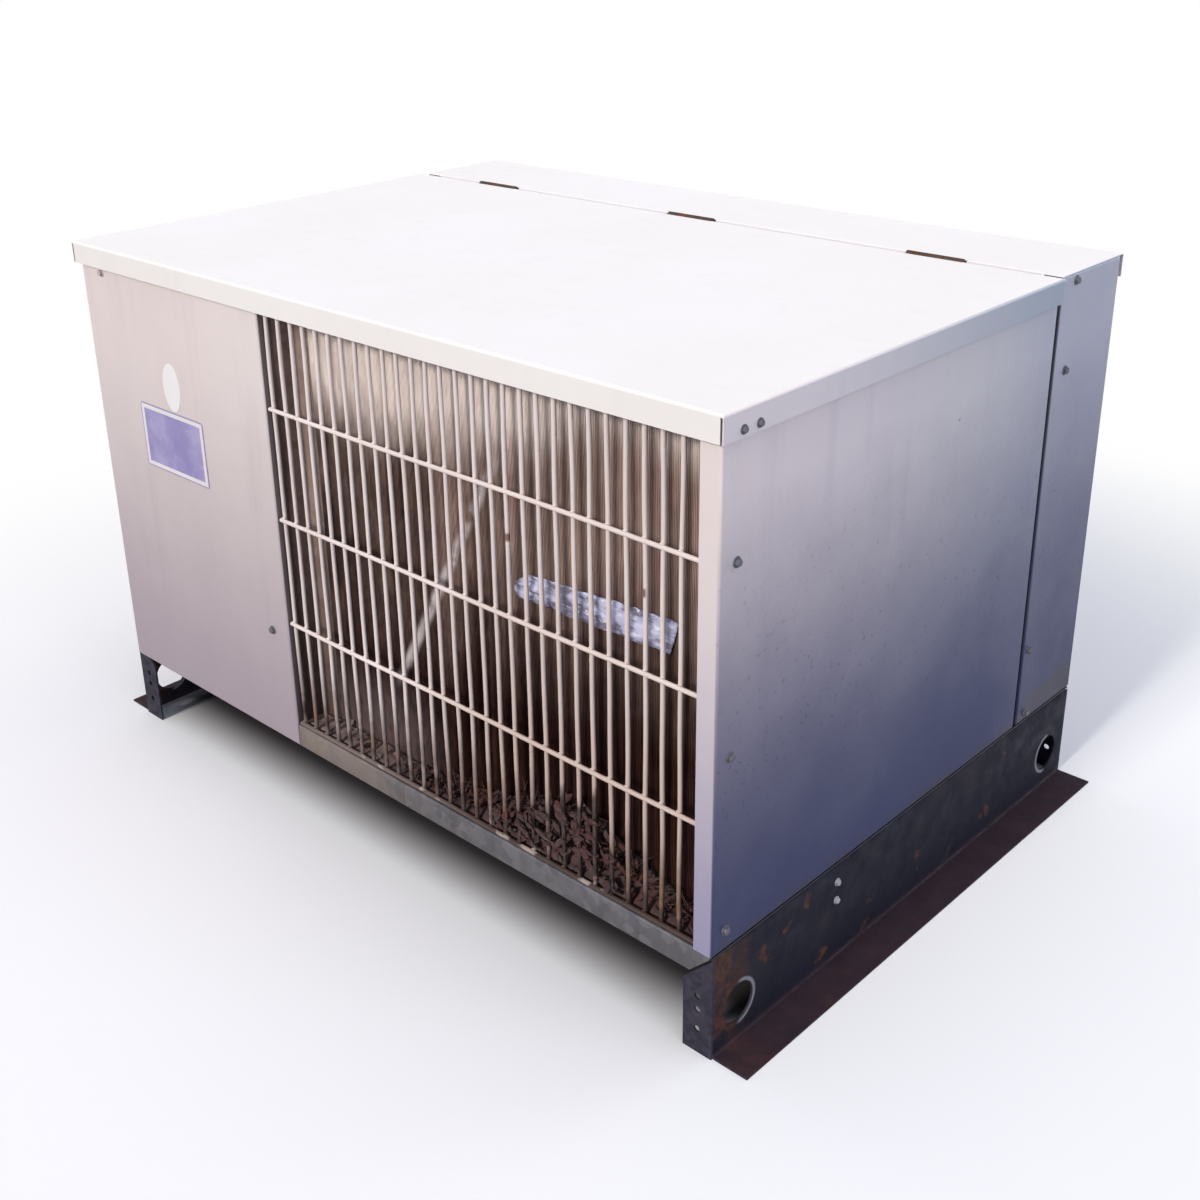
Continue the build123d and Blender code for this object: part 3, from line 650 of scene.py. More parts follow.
# Grime and painted shade: rain streaks, and the darker foot of the front panels and the ends.
FRONT_GRIME_AND_SHADE = (0.310, 0.256, 0.305)
END_GRIME_AND_SHADE = (0.226, 0.222, 0.390)
# Mud and painted blue shade at the foot of the end faces.
END_SPLASH_AND_SHADE = (0.016, 0.024, 0.085)
front_paint = painted_steel(
    "front_panel_paint", PAINT, FADED, FRONT_GRIME_AND_SHADE, foot=(0.05, 0.72), foot_amount=0.90, streak_amount=0.16,
    rust_cover=0.05, edge_shade=0.85)
end_paint = painted_steel(
    "end_panel_paint", PAINT, FADED, END_GRIME_AND_SHADE, foot=(0.06, 0.66), foot_amount=0.90, streak_amount=0.12,
    rust_cover=0.07, splash_and_shade=0.95, ends=(END, END_FRONT_LIGHT, END_REAR_SHADE, 0.45))
lid_paint = painted_steel(
    "lid_paint", LID_PAINT, LID_FADED, FRONT_GRIME_AND_SHADE, foot=(0.0, 0.1), foot_amount=0.0, streak_amount=0.04,
    rust_cover=0.05, ends=(LID_LIP_END, END_FRONT_LIGHT, END_REAR_SHADE, 0.66), seam_shade=ROOF_SEAM_SHADE, specular=0.0,
    rough=(0.58, 0.70))
base_zinc = zinc_sheet(
    "base_zinc", dark=(0.105, 0.105, 0.118), bright=(0.190, 0.185, 0.196), dirt=(0.070, 0.055, 0.052),
    foot=(0.08, 0.135), foot_amount=0.4, rust_cover=0.16, dry_left=0.8)
inner_zinc = zinc_sheet(
    "inner_zinc", dark=(0.43, 0.44, 0.45), bright=(0.55, 0.56, 0.57), dirt=(0.26, 0.21, 0.17),
    foot=(0.10, 0.22), foot_amount=0.6, rust_cover=0.08)
dusty_zinc = zinc_sheet(
    "dusty_zinc", dark=(0.25, 0.175, 0.150), bright=(0.36, 0.275, 0.240), dirt=(0.060, 0.032, 0.026),
    foot=(0.12, 0.46), foot_amount=0.8, rust_cover=0.12, metallic=0.1)
skid_finish = skid_steel("skid_steel")
wire_coat = wire_paint("wire_coat")
fin_finish = fin_dust("fin_dust")
plate_finish = plate_print("plate_print")
strip_film = crinkled_film("strip_film")
litter = leaf_litter("leaf_litter")
# Dark tone, bright tone, metallic, roughness, size of the spots, rust cover and dust cover
PLAIN_FINISHES = {
    "hinge_rust": ((0.050, 0.032, 0.024), (0.13, 0.085, 0.06), 0.4, (0.5, 0.8), 90.0, 0.45, 0.25),
    "dull_copper": ((0.38, 0.17, 0.085), (0.62, 0.32, 0.18), 0.85, (0.3, 0.55), 60.0, 0.0, 0.30),
    "mill_aluminium": ((0.46, 0.47, 0.48), (0.66, 0.67, 0.68), 0.85, (0.32, 0.55), 34.0, 0.0, 0.42),
    "black_paint": ((0.018, 0.018, 0.020), (0.040, 0.040, 0.044), 0.0, (0.32, 0.55), 22.0, 0.14, 0.36),
    "grommet_rubber": ((0.020, 0.019, 0.018), (0.045, 0.043, 0.041), 0.0, (0.7, 0.9), 50.0, 0.0, 0.34),
    "box_paint": ((0.44, 0.45, 0.45), (0.58, 0.59, 0.58), 0.0, (0.4, 0.6), 14.0, 0.05, 0.32),
    "screw_zinc": ((0.085, 0.082, 0.10), (0.20, 0.195, 0.22), 0.4, (0.45, 0.7), 300.0, 0.32, 0.2),
    "painted_screw": ((0.48, 0.40, 0.38), (0.66, 0.57, 0.55), 0.1, (0.5, 0.8), 260.0, 0.3, 0.2),
    "bright_zinc": ((0.30, 0.30, 0.34), (0.52, 0.52, 0.55), 0.3, (0.4, 0.6), 300.0, 0.2, 0.2),
    "patch_white": ((0.86, 0.84, 0.85), (0.92, 0.91, 0.91), 0.0, (0.4, 0.6), 40.0, 0.0, 0.14),
}
plain = {name: spotted_metal(name, *row) for name, row in PLAIN_FINISHES.items()}

NODE_FINISH = {
    front_paint: ["front_left_panel", "rear_left_panel"],
    end_paint: ["left_side_panel", "right_side_panel", "rear_left_corner", "rear_right_corner"],
    lid_paint: ["lid", "rear_top_strip"],
    base_zinc: ["base_pan"],
    skid_finish: ["left_skid", "right_skid"],
    plain["hinge_rust"]: ["hinge_fixed_leaves", "hinge_lid_leaves", "hinge_pins"],
    wire_coat: ["coil_guard", "outlet_guard"],
    fin_finish: ["coil_fin_pack"],
    inner_zinc: ["fan_shroud", "motor_straps"],
    dusty_zinc: ["coil_left_end_plate", "coil_right_end_plate", "partition"],
    plain["dull_copper"]: ["left_return_bends", "right_return_bends", "discharge_line", "liquid_line"],
    plain["mill_aluminium"]: ["fan"],
    plain["black_paint"]: ["fan_motor", "compressor", "receiver"],
    plain["grommet_rubber"]: ["compressor_grommets"],
    plain["box_paint"]: ["control_box"],
}
for finish, names in NODE_FINISH.items():
    for node_name in names:
        nodes[node_name].data.materials.clear()
        nodes[node_name].data.materials.append(finish)

draw = random.Random(7)


def guard(name, node, sign):
    """The welded guard: round uprights that bow a little, rows across their outer side, a nugget per weld."""
    stock = Stock()
    first_x, pitch, count = -0.141, 0.0232, 28
    border_x = 0.522
    upright_y = sign * 0.3662
    row_y = upright_y + sign * 0.0043
    weld_y = upright_y + sign * 0.0022
    low, high = 0.1317, 0.6956
    rows = [0.1343, 0.277, 0.418, 0.559, 0.693]
    steps, row_steps = 40, 100
    most_bow, sway_size, depth_size, row_size = 0.0014, 0.0004, 0.0003, 0.0006
    nugget = Matrix.Diagonal((0.0034, 0.0026, 0.0034, 1))
    ball = [(math.sin(k * math.pi / 6), -math.cos(k * math.pi / 6)) for k in range(7)]
    for x in [first_x + i * pitch for i in range(count)] + [border_x]:
        bow = draw.uniform(-most_bow, most_bow)
        turn = draw.uniform(0, FULL_TURN)
        path = []
        for i in range(steps + 1):
            z = low + (high - low) * i / steps
            part = (z - low) / (high - low)
            sway = bow * math.sin(HALF_TURN * part) + sway_size * math.sin(19 * part + turn)
            path.append((x + sway, upright_y + depth_size * math.sin(13 * part + turn), z))
        stock.tube(path, WIRE_R)
        for z in rows:
            part = (z - low) / (high - low)
            sway = bow * math.sin(HALF_TURN * part)
            stock.lathe(ball, Matrix.Translation((x + sway, weld_y, z)) @ nugget, 8)
    start = first_x - WIRE_R
    length = border_x + WIRE_R - start
    for z in rows:
        turn = draw.uniform(0, FULL_TURN)
        path = []
        for i in range(row_steps + 1):
            part = i / row_steps
            path.append((start + length * part, row_y, z + row_size * math.sin(9 * part + turn)))
        stock.tube(path, WIRE_R)
    piece(name, stock, wire_coat, stands_for=[node])


def fin_block():
    """Thin fins side by side, with wavy leading edges and one long bruise where they are bent over."""
    stock = Stock()
    pitch, half = 0.0021, 0.00013
    steps = 30
    wave_size = 0.0011
    bruise_low, bruise_high, bruise_half, bruise_bend = 0.24, 0.565, 0.008, 0.0017
    left, front, low = COIL_LOW
    right, back, high = COIL_HIGH
    margin = half + 0.0001
    depths = [front, front + 0.006, back]
    count = int((right - left - 2 * margin) / pitch)
    start = left + margin + (right - left - 2 * margin - count * pitch) / 2
    for i in range(count + 1):
        x = start + i * pitch
        points = []
        for side in (half, -half):
            for j in range(steps + 1):
                z = low + (high - low) * j / steps
                wave = noise.noise(Vector((x * 35, 3.1, z * 22))) * wave_size
                bruise = x - (BRUISE_SLOPE * z + BRUISE_START)
                if bruise_low < z < bruise_high:
                    wave += bruise_bend * math.exp(-(bruise / bruise_half) ** 2)
                wave = max(min(wave, right - margin - x), left + margin - x)
                for depth, share in zip(depths, (1.0, 0.25, 0.0)):
                    points.append((x + side + wave * share, depth, z))
        stock.add(points, sheet_faces(steps, len(depths) - 1, (steps + 1) * len(depths)))
    piece("coil_fins", stock, fin_finish, stands_for=["coil_fin_pack"], sharp=30)


def sheet_faces(along, across, skin):
    """Faces of a closed sheet of points laid in rows: its two sides, numbered skin apart, and its rim."""
    row = across + 1
    faces = []
    for i in range(along):
        for j in range(across):
            a = i * row + j
            quad = [a, a + row, a + row + 1, a + 1]
            faces.append(list(reversed(quad)))
            faces.append([skin + n for n in quad])
    rim = [i * row for i in range(along + 1)]
    rim += [along * row + j for j in range(1, row)]
    rim += [i * row + across for i in range(along - 1, -1, -1)]
    rim += [j for j in range(across - 1, 0, -1)]
    for k, a in enumerate(rim):
        b = rim[(k + 1) % len(rim)]
        faces.append([a, b, skin + b, skin + a])
    return faces


def packed_dust():
    """The dust that fills the gaps between the fins, just behind their edges, front and back."""
    stock = Stock()
    along, across = 204, 110
    inset = 0.0004
    behind = 0.0008
    points = []
    for side, face_y in ((1, COIL_HIGH.y), (-1, COIL_LOW.y)):
        for i in range(along + 1):
            x = COIL_LOW.x + inset + (COIL_HIGH.x - COIL_LOW.x - 2 * inset) * i / along
            for j in range(across + 1):
                z = COIL_LOW.z + inset + (COIL_HIGH.z - COIL_LOW.z - 2 * inset) * j / across
                clot = noise.noise(Vector((x * 210, side * 2.3, z * 60))) * 0.0005
                clot += noise.noise(Vector((x * 40, side * 4.1, z * 26))) * 0.0003
                points.append((x, face_y - side * (behind - clot), z))
    stock.add(points, sheet_faces(along, across, (along + 1) * (across + 1)))
    piece("packed_dust", stock, fin_finish, sharp=60)


def facing(point, normal, spin=0.0):
    """The place of a small piece on a face: its own Z looks out of the face."""
    normal = Vector(normal)
    turn = normal.to_track_quat("Z", "Y").to_matrix().to_4x4()
    return Matrix.Translation(point) @ turn @ Matrix.Rotation(spin, 4, "Z")


def hex_screw(stock, point, normal, head=0.0042, washer=0.0058, height=0.0042):
    """A hex head on its washer face, a little turned, seated on the sheet."""
    place = facing(point, normal, draw.uniform(0, 1.0))
    disc = [(0, -0.0004), (washer, -0.0004), (washer, 0.0006), (washer * 0.94, 0.0011), (0, 0.0011)]
    stock.lathe(disc, place, 24)
    outline = [(head * math.cos(k * math.pi / 3), head * math.sin(k * math.pi / 3)) for k in range(6)]
    stock.slab(outline, place @ Matrix.Translation((0, 0, 0.0008)), height - 0.0008, 0.0006)


def screw_set(name, spots, finish, body="root", sizes=()):
    """One piece of hex screws, each at a point on a face that looks along a normal."""
    stock = Stock()
    for point, normal in spots:
        hex_screw(stock, point, normal, *sizes)
    piece(name, stock, plain[finish], body)


def cabinet_fasteners():
    """Rusty painted screws on the bay's panels, dull ones on cabinet and lid, pale bolts on the skids."""
    front, back = (0, -1, 0), (0, 1, 0)
    outer, inner, high, low = -0.487, -0.180, 0.672, 0.257
    left_shift = 0.022
    panels = [((outer, FRONT, high), front)]
    panels += [((x, BACK, z), back) for x, z in ((outer, high), (inner, low), (outer, low), (inner, high))]
    cabinet = [((inner, FRONT, low), front)]
    lips = []
    skids = []
    for side in (1, -1):
        out = (side, 0, 0)
        shift = left_shift if side < 0 else 0.0
        post = [(y + shift, z) for y, z in ((-0.350, 0.558), (-0.353, 0.355), (-0.3545, 0.154))]
        wrap = [(0.266, 0.697), (0.261, 0.592), (0.246, 0.234), (0.256, 0.140)]
        cabinet += [((side * END, y, z), out) for y, z in post + wrap]
        lips += [((side * LID_LIP_END, y, 0.687), out) for y in (-0.353, -0.330)]
        skids += [((side * END, -0.155, z), out) for z in (0.104, 0.080)]
    screw_set("panel_screws", panels, "painted_screw")
    screw_set("cabinet_screws", cabinet, "screw_zinc")
    screw_set("lid_screws", lips, "screw_zinc", "lid", SMALL_SCREW)
    screw_set("skid_bolts", skids, "bright_zinc", sizes=SKID_BOLT)


def rounded_box(half_x, half_y, corner, steps=6):
    """The outline of a rectangle with round corners."""
    outline = []
    for cx, cy, start in ((1, 1, 0), (-1, 1, 90), (-1, -1, 180), (1, -1, 270)):
        for k in range(steps):
            turn = math.radians(start + 90 * k / (steps - 1))
            outline.append((cx * (half_x - corner) + corner * math.cos(turn),
                            cy * (half_y - corner) + corner * math.sin(turn)))
    return outline


def rounded_run(points, corner, steps=8):
    """A pipe's path with its square corners bent to one radius."""
    points = [Vector(point) for point in points]
    path = [points[0]]
    for before, here, after in zip(points, points[1:], points[2:]):
        ahead = (here - before).normalized()
        out = (after - here).normalized()
        centre = here + (out - ahead) * corner
        for k in range(steps + 1):
            turn = math.pi / 2 * k / steps
            path.append(centre + (ahead * math.sin(turn) - out * math.cos(turn)) * corner)
    return path + [points[-1]]


def oval_ends(radius, low, high, dome, seams, steps=8):
    """The profile of a closed vessel: smooth oval ends, and a proud weld bead at each seam level."""
    turns = [math.pi / 2 * k / steps for k in range(1, steps + 1)]
    profile = [(0, low)] + [(radius * math.sin(t), low + dome - dome * math.cos(t)) for t in turns]
    for level in seams:
        profile += [(radius + out, level + up) for out, up in
                    ((0, -0.0050), (0.0014, -0.0036), (0.0021, 0.0), (0.0014, 0.0036), (0, 0.0050))]
    profile += [(radius * math.cos(t), high - dome + dome * math.sin(t)) for t in [0] + turns[:-1]]
    return profile + [(0, high)]


def stub_profile(foot, foot_r, neck, neck_r, shoulder, top):
    """The profile of a pipe stub on a vessel: a collar, a shoulder and a tube with a broken edge."""
    tube_r, edge = 0.0110, 0.0010
    inner = tube_r - 0.0008
    collar = [(0, foot), (foot_r, foot), (neck_r, neck)]
    return collar + [(tube_r, shoulder), (tube_r, top - edge), (inner, top), (0, top)]


def compressor_shell():
    """The compressor: welded shell on its foot plate, with the discharge stub on its shoulder."""
    stock = Stock()
    place = Matrix.Translation((COMPRESSOR_X, COMPRESSOR_Y, 0))
    stock.lathe(oval_ends(0.092, 0.136, 0.483, 0.058, [0.300, 0.424]), place, 64)
    foot = Matrix.Translation((COMPRESSOR_X, COMPRESSOR_Y, 0.148))
    stock.slab(rounded_box(0.098, 0.098, 0.015), foot, 0.005, 0.0008)
    stub = Matrix.Translation((COMPRESSOR_X + STUB_OUT, COMPRESSOR_Y, 0))
    stock.lathe(stub_profile(0.447, 0.0145, 0.474, 0.0142, 0.479, STUB_TOP), stub, 28)
    piece("compressor_shell", stock, plain["black_paint"], stands_for=["compressor"])


def receiver_vessel():
    """The liquid receiver on its skirt, with its inlet stub."""
    stock = Stock()
    place = Matrix.Translation((RECEIVER_X, RECEIVER_Y, 0))
    stock.lathe(oval_ends(0.064, 0.137, 0.497, 0.038, [0.182, 0.452]), place, 56)
    inner, outer = 0.0435, 0.0460
    foot, rim, top = FLOOR, 0.1395, 0.1700
    stock.lathe([(0, rim), (inner, rim), (inner, foot), (outer, foot), (outer, top), (0, top)], place, 48)
    stub = facing((RECEIVER_X, RECEIVER_Y, INLET_Z), (1, 0, 0))
    stock.lathe(stub_profile(0.050, 0.0150, 0.0660, 0.0145, 0.0700, INLET_OUT), stub, 28)
    piece("receiver_vessel", stock, plain["black_paint"], stands_for=["receiver"])


def braze_ring(stock, end, along, radius, sides, ring):
    """A braze ring round the end of a tube: steps along it and how far each stands proud."""
    stock.tube([end + along * step for step, _ in ring], [radius + proud for _, proud in ring], sides)


def bay_pipes():
    """The discharge and liquid lines, with a braze ring at each end."""
    stub_x = COMPRESSOR_X + STUB_OUT
    over = 0.626
    aside = -0.178
    discharge = [(stub_x, COMPRESSOR_Y, STUB_TOP), (stub_x, COMPRESSOR_Y, over), (stub_x, TUBE_Y, over),
                 (COIL_LEFT, TUBE_Y, over)]
    liquid = [(COIL_LEFT, TUBE_Y, TUBE_Z), (aside, TUBE_Y, TUBE_Z), (aside, RECEIVER_Y, TUBE_Z),
              (aside, RECEIVER_Y, INLET_Z), (RECEIVER_X + INLET_OUT, RECEIVER_Y, INLET_Z)]
    ring = [(0.0002, 0.0012), (0.0012, 0.0016), (0.0034, 0.0010), (0.0050, 0.0001)]
    for name, node, points, radius in (("discharge_pipe", "discharge_line", discharge, 0.0080),
                                       ("liquid_pipe", "liquid_line", liquid, TUBE_R)):
        stock = Stock()
        path = rounded_run(points, 0.026)
        stock.tube(path, radius, 20)
        for end, inward in ((path[0], path[1]), (path[-1], path[-2])):
            braze_ring(stock, end, (inward - end).normalized(), radius, 20, ring)
        piece(name, stock, plain["dull_copper"], stands_for=[node])


def return_bend_set(name, node, start_x, sign, first, last):
    """The hairpin bends at one end of the coil, each brazed into two tubes."""
    stock = Stock()
    bend_r = TUBE_RISE / 2
    far = start_x + sign * 0.003
    steps = 14
    ring = [(0.0001, 0.0014), (0.0008, 0.0016), (0.0022, 0.0008), (0.0030, 0.0001)]
    for i in range(first, last, 2):
        low = TUBE_Z + TUBE_RISE * i
        path = [(start_x, TUBE_Y, low)]
        for k in range(steps + 1):
            turn = math.pi * k / steps
            level = low + bend_r - bend_r * math.cos(turn)
            path.append((far + sign * bend_r * math.sin(turn), TUBE_Y, level))
        path.append((start_x, TUBE_Y, low + TUBE_RISE))
        stock.tube(path, TUBE_R, 18)
        for level in (low, low + TUBE_RISE):
            braze_ring(stock, Vector((start_x, TUBE_Y, level)), Vector((sign, 0, 0)), TUBE_R, 18, ring)
    piece(name, stock, plain["dull_copper"], stands_for=[node])


def motor_body():
    """The fan motor: pressed end bells lipped over a plain shell, its shaft and two through bolts."""
    stock = Stock()
    place = facing((FAN_X, 0, FAN_Z), (0, 1, 0))
    front, tail, shaft_end = -0.159, -0.029, -0.207
    bell, face_r, bell_out = 0.021, 0.0385, 0.0315
    tail_r, tail_out = 0.056, 0.014
    lip_r, shell_r = 0.0714, 0.0696
    shaft_r = 0.00635
    profile = [(0, shaft_end), (0.0058, shaft_end), (shaft_r, shaft_end + 0.0008), (shaft_r, front)]
    profile += [(0.0150, front), (face_r, front)]
    for k in range(1, 7):
        turn = k * math.pi / 12
        profile.append((face_r + bell_out * math.sin(turn), front + bell - bell * math.cos(turn)))
    profile += [(lip_r, front + 0.0214), (lip_r, front + 0.0262), (shell_r, front + 0.0268)]
    profile += [(shell_r, tail - 0.0268), (lip_r, tail - 0.0262), (lip_r, tail - 0.0214)]
    profile.append((tail_r + tail_out, tail - bell))
    for k in range(1, 5):
        turn = k * math.pi / 10
        profile.append((tail_r + tail_out * math.cos(turn), tail - bell + bell * math.sin(turn)))
    profile += [(0.0550, tail), (0, tail)]
    stock.lathe(profile, place, 64)
    for side in (1, -1):
        spot = (FAN_X + side * 0.046, tail, FAN_Z)
        hex_screw(stock, spot, (0, 1, 0), head=0.0045, washer=0.0060, height=0.0050)
    piece("motor_body", stock, plain["black_paint"], stands_for=["fan_motor"])


def control_cover():
    """The shallow cover of the electrical box."""
    stock = Stock()
    place = facing((-0.4159, -0.195, 0.582), (1, 0, 0), math.pi / 2)
    stock.slab(rounded_box(0.100, 0.066, 0.006), place, 0.0022, 0.0008)
    piece("control_cover", stock, plain["box_paint"])


def bay_fasteners():
    """Cover screws of the electrical box, and the nuts on the compressor's mounts."""
    stock = Stock()
    for y in (-0.287, -0.103):
        for z in (0.524, 0.640):
            hex_screw(stock, (-0.4138, y, z), (1, 0, 0), *SMALL_SCREW)
    for i in (1, -1):
        for j in (1, -1):
            spot = (COMPRESSOR_X + i * 0.078, COMPRESSOR_Y + j * 0.078, 0.153)
            hex_screw(stock, spot, (0, 0, 1), head=0.0075, washer=0.0120, height=0.0085)
    piece("bay_fasteners", stock, plain["screw_zinc"])


def rating_plate():
    """The bare plate on the bay's front panel."""
    stock = Stock()
    place = Matrix.Translation((PLATE_X, FRONT + 0.0001, PLATE_Z)) @ Matrix.Rotation(math.pi / 2, 4, "X")
    stock.slab(rounded_box(PLATE_HALF_X, PLATE_HALF_Z, 0.004), place, 0.0009, 0.0003)
    piece("rating_plate", stock, plate_finish)


def oval_patch():
    """The white oval above the plate."""
    stock = Stock()
    half_x, half_z = 0.019, 0.0320
    outline = [(half_x * math.cos(k * math.pi / 24), half_z * math.sin(k * math.pi / 24)) for k in range(48)]
    place = Matrix.Translation((-0.350, FRONT + 0.0001, 0.5435)) @ Matrix.Rotation(math.pi / 2, 4, "X")
    stock.slab(outline, place, 0.0006, 0.0002)
    piece("oval_patch", stock, plain["patch_white"])


def coil_strip():
    """A bare strip of thin film that clings to the coil's face, crinkled, one end narrow."""
    stock = Stock()
    along, across = 72, 12
    film = 0.0004
    points = []
    for side in (0, 1):
        for i in range(along + 1):
            part = i / along
            top = Vector((0.236 + 0.218 * part, 0.4510 + 0.0125 * part))
            low = Vector((0.217 + 0.226 * part, 0.4180 + 0.0075 * part))
            squeeze = math.sqrt(max(0.0, 1 - max(0.0, (0.10 - part) / 0.10) ** 2))
            squeeze *= 1 + 0.10 * noise.noise(Vector((part * 9, 0.2, 3.3)))
            for j in range(across + 1):
                rise = 0.5 + (j / across - 0.5) * max(squeeze, 0.25)
                spot = low.lerp(top, rise)
                fold = abs(noise.noise(Vector((spot.x * 30, spot.y * 150, 1.7)))) * 0.0060
                fold += abs(noise.noise(Vector((spot.x * 19, spot.y * 40, 5.2)))) * 0.0040
                points.append((spot.x, COIL_LOW.y - 0.0003 - fold - side * film, spot.y))
    stock.add(points, sheet_faces(along, across, (along + 1) * (across + 1)))
    piece("coil_strip", stock, strip_film, sharp=180)


def leaf(stock, place, length, width, curl):
    """One dead leaf: a pointed, curled blade with a little thickness."""
    steps = 5
    thick = 0.0003
    points = []
    for side in (0, 1):
        for i in range(steps + 1):
            part = i / steps
            half = width / 2 * math.sin(math.pi * (0.08 + 0.84 * part))
            lift = curl * length * (part - 0.5) ** 2
            for across in (-1, 0, 1):
                rise = lift + abs(across) * half * 0.45 + side * thick
                points.append(place @ Vector((length * (part - 0.5), across * half, rise)))
    stock.add(points, sheet_faces(steps, 2, 3 * (steps + 1)))


def heap_height(x):
    """How high the litter stands against the coil's foot."""
    hump = math.exp(-((x - 0.32) / 0.10) ** 2)
    ledge = 0.010 * max(0.0, min(1.0, (x - 0.02) / 0.12))
    return 0.003 + ledge + 0.060 * hump + 0.008 * noise.noise(Vector((x * 17, 0.3, 0.9)))


def turned(turn, letter):
    """A turn about one axis."""
    return Matrix.Rotation(turn, 4, letter)


def foot_litter():
    """Dead leaves and stalks caught between the guard and the coil, some of them matted in the guard."""
    stock = Stock()
    for _ in range(480):
        x = draw.uniform(0.06, 0.50) if draw.random() < 0.93 else draw.uniform(-0.11, 0.06)
        if draw.random() < 0.55:
            x = draw.gauss(0.31, 0.09)
        x = min(max(x, -0.125), 0.495)
        high = max(heap_height(x), 0.006)
        y = draw.uniform(-0.361, -0.337)
        z = FLOOR + 0.006 + high * draw.random() ** 1.4
        spin = turned(draw.uniform(0, FULL_TURN), "Z") @ turned(draw.uniform(-1.1, 1.1), "X")
        spin = spin @ turned(draw.uniform(-0.7, 0.7), "Y")
        length = draw.uniform(0.007, 0.017)
        width = length * draw.uniform(0.3, 0.6)
        leaf(stock, Matrix.Translation((x, y, z)) @ spin, length, width, draw.uniform(0.2, 1.2))
    for _ in range(210):
        x = draw.uniform(0.215, 0.405)
        rise = min((x - 0.205) / 0.14, (0.412 - x) / 0.037, 1.0)
        z = FLOOR + 0.008 + (0.014 + 0.074 * rise) * draw.random() ** 0.8
        y = draw.uniform(-0.3735, -0.3600)
        spin = turned(HALF_TURN / 2 + draw.gauss(0, 0.35), "X") @ turned(draw.uniform(0, FULL_TURN), "Z")
        length = draw.uniform(0.007, 0.016)
        width = length * draw.uniform(0.4, 0.7)
        leaf(stock, Matrix.Translation((x, y, z)) @ spin, length, width, draw.uniform(0.0, 0.3))
    for _ in range(120):
        x = min(max(draw.gauss(0.27, 0.15), -0.11), 0.48)
        y = draw.uniform(-0.360, -0.340)
        z = FLOOR + 0.004 + heap_height(x) * draw.random()
        lean = Vector((draw.uniform(-1, 1), draw.uniform(-0.25, 0.25), draw.uniform(-0.3, 0.9))).normalized()
        length = draw.uniform(0.012, 0.034)
        middle = Vector((x, y, z)) + lean * length / 2 + Vector((0, 0, draw.uniform(-0.002, 0.002)))
        end = Vector((x, y, z)) + lean * length
        end.y = min(max(end.y, -0.362), -0.336)
        end.z = max(end.z, FLOOR + 0.003)
        stock.tube([(x, y, z), middle, end], [0.0007, 0.0006, 0.0003], 5)
    piece("foot_litter", stock, litter)


def litter_bed():
    """The packed dirt that the leaves lie in, along the floor behind the guard."""
    stock = Stock()
    along, across = 120, 8
    left, right = -0.135, 0.505
    near, far = -0.3625, -0.3305
    points = []
    for i in range(along + 1):
        x = left + (right - left) * i / along
        for j in range(across + 1):
            part = j / across
            y = near + (far - near) * part
            lump = 0.004 * noise.noise(Vector((x * 60, y * 90, 0.4)))
            bed = heap_height(x) * 0.8 * part ** 0.8 * math.sin(math.pi * min(i, along - i, 12) / 24)
            lump *= math.sin(math.pi * (0.15 + 0.7 * part))
            points.append((x, y, FLOOR + 0.0018 + max(0.0, bed + lump)))
    points = [(x, y, FLOOR + 0.0013) for x, y, _ in points] + points
    stock.add(points, sheet_faces(along, across, (along + 1) * (across + 1)))
    piece("litter_bed", stock, litter, sharp=180)


guard("coil_guard_wires", "coil_guard", -1)
guard("outlet_guard_wires", "outlet_guard", 1)
fin_block()
packed_dust()
cabinet_fasteners()
compressor_shell()
receiver_vessel()
bay_pipes()
return_bend_set("left_bends", "left_return_bends", COIL_LEFT, -1, 1, 11)
return_bend_set("right_bends", "right_return_bends", COIL_RIGHT, 1, 0, 12)
motor_body()
control_cover()
bay_fasteners()
rating_plate()
oval_patch()
coil_strip()
foot_litter()
litter_bed()


def mixed(bench, factor, a, b):
    """From shader a to shader b."""
    made = bench.node("ShaderNodeMixShader")
    for socket, value in zip(made.inputs, (factor, a.outputs[0], b.outputs[0])):
        bench.feed(socket, value)
    return made


def shaded(bench, kind, colour, strength=None):
    """A plain shader of one colour."""
    made = bench.node(kind)
    bench.feed(made.inputs["Color"], colour)
    if strength is not None:
        bench.feed(made.inputs["Strength"], strength)
    return made


